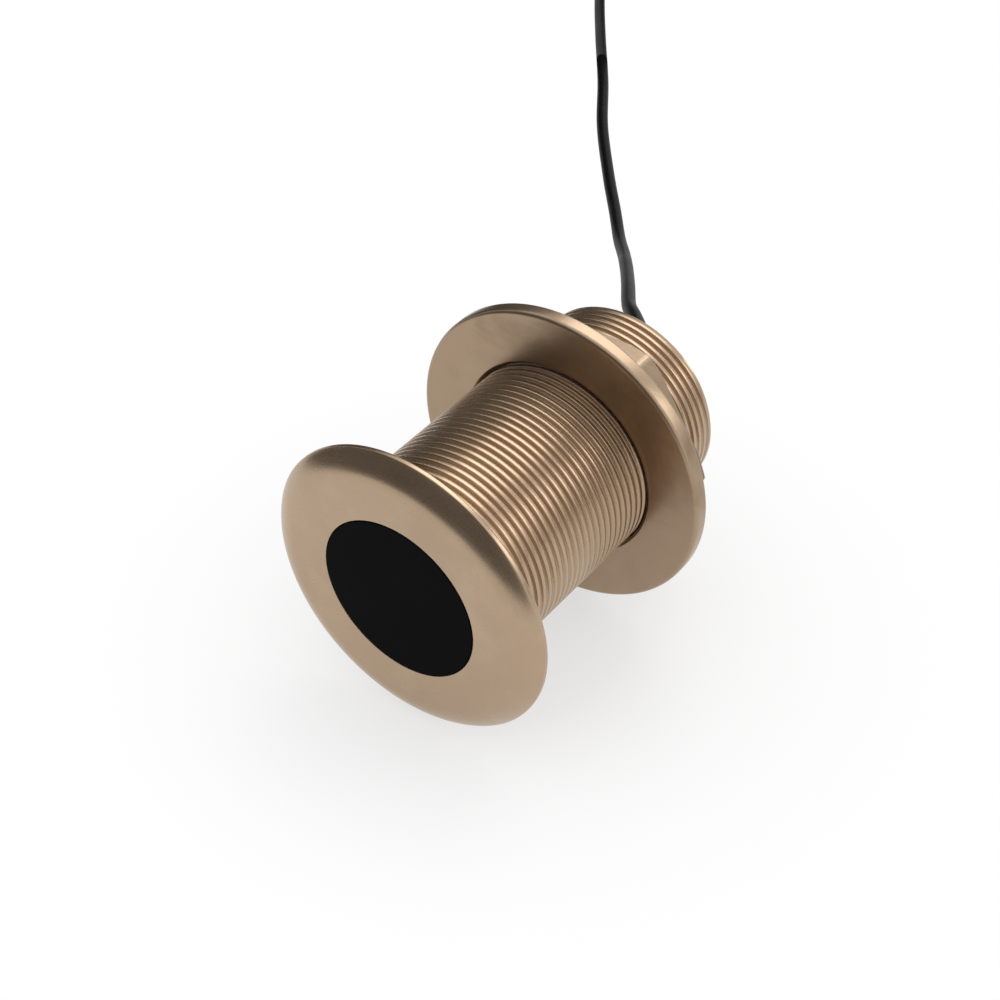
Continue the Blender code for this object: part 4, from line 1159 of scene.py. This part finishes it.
def makeTable(spec):
    deselectAll()
    bpy.ops.mesh.primitive_grid_add(x_subdivisions=16, y_subdivisions=16, size=spec["tableSize"])
    table = bpy.context.object
    table.name = "paleTable"
    table.data.transform(Matrix.Translation((0, 0, -spec["tableDrop"])))
    bench = Bench("paleTableTop")
    coords = bench.coords()
    x, y, _ = bench.split(coords)
    away = (x * x + y * y).root()
    share = spec["nearShare"] + (1 - spec["nearShare"]) * away.smooth(spec["nearReach"], spec["farReach"])
    grain = bench.noise(coords, 90.0, 3.0, 0.5)
    shade = bench.blend((*spec["tableColour"], 1), (0.88, 0.88, 0.885, 1), grain)
    bench.finish(shade, 0.9, None, {"Specular IOR Level": 0.0})
    glow = bench.node("ShaderNodeEmission", None, {"Color": (1, 1, 1, 1), "Strength": 1.0})
    mixed = bench.node("ShaderNodeMixShader", None, {0: bench.seenRays() * share, 2: glow})
    bench.tree.links.new(bench.shader.outputs[0], mixed.socket.node.inputs[1])
    bench.tree.links.new(mixed.socket, bench.tree.nodes["Material Output"].inputs["Surface"])
    table.data.materials.append(bench.material)


def makeSurround(spec):
    world = bpy.data.worlds.new("whiteSurround")
    world.use_nodes = True
    bpy.context.scene.world = world
    bench = Bench("whiteSurround", world.node_tree)
    background = world.node_tree.nodes["Background"]
    background.inputs["Color"].default_value = (1, 1, 1, 1)
    strength = spec["fill"] + bench.seenRays() * (spec["surround"] - spec["fill"])
    bench.link(strength, background.inputs["Strength"])


# the way to a point of the studio from its middle, from two angles in degrees
def towards(azimuth, elevation):
    turn, lift = radians(azimuth), radians(elevation)
    return Vector((cos(lift) * cos(turn), cos(lift) * sin(turn), sin(lift)))


# a soft lamp that shows in the metal with the given brightness
def softLamp(name, azimuth, elevation, size, brightness):
    direction = towards(azimuth, elevation)
    place = Vector(studio["middle"]) + direction * studio["lampDistance"]
    bpy.ops.object.light_add(type="AREA", location=place)
    lamp = bpy.context.object
    lamp.name = name
    lamp.rotation_euler = (-direction).to_track_quat("-Z", "Y").to_euler()
    lamp.data.shape = "RECTANGLE"
    lamp.data.size, lamp.data.size_y = size
    lamp.data.energy = brightness * pi * size[0] * size[1]


# a dark cloth on a stand: part of a sphere about the object, which only reflections see
def darkCloth(name, azimuths, elevations, distance, shade):
    deselectAll()
    bpy.ops.mesh.primitive_grid_add(x_subdivisions=24, y_subdivisions=12, size=1.0)
    cloth = bpy.context.object
    cloth.name = name
    for vertex in cloth.data.vertices:
        turn = azimuths[0] + (azimuths[1] - azimuths[0]) * (vertex.co.x + 0.5)
        lift = elevations[0] + (elevations[1] - elevations[0]) * (vertex.co.y + 0.5)
        vertex.co = Vector(studio["middle"]) + towards(turn, lift) * distance
    material = bpy.data.materials.new(name)
    material.use_nodes = True
    shader = material.node_tree.nodes["Principled BSDF"]
    shader.inputs["Base Color"].default_value = (0, 0, 0, 1)
    shader.inputs["Specular IOR Level"].default_value = 0
    shader.inputs["Emission Color"].default_value = (1, 1, 1, 1)
    shader.inputs["Emission Strength"].default_value = shade
    cloth.data.materials.append(material)
    cloth.visible_camera = cloth.visible_diffuse = cloth.visible_shadow = False
    cloth.visible_transmission = cloth.visible_volume_scatter = False


makeTable(studio)
makeSurround(studio)
softLamp("backLamp", 95, 52, (1.1, 0.8), 2.25)
softLamp("rightLamp", 40, 28, (0.55, 0.5), 2.3)
darkCloth("cameraSideCloth", (186, 324), (-7, 60), 0.31, 0.12)
darkCloth("leftCloth", (120, 176), (-10, 40), 0.30, 0.05)
darkCloth("gapCloth", (50, 55), (28, 46), 1.2, 0.10)
darkCloth("horizonCloth", (14, 60), (-4, 4), 1.2, 0.10)
print("studio lit")


bpy.context.scene.view_settings.view_transform = "Standard"

bpy.context.view_layer.update()
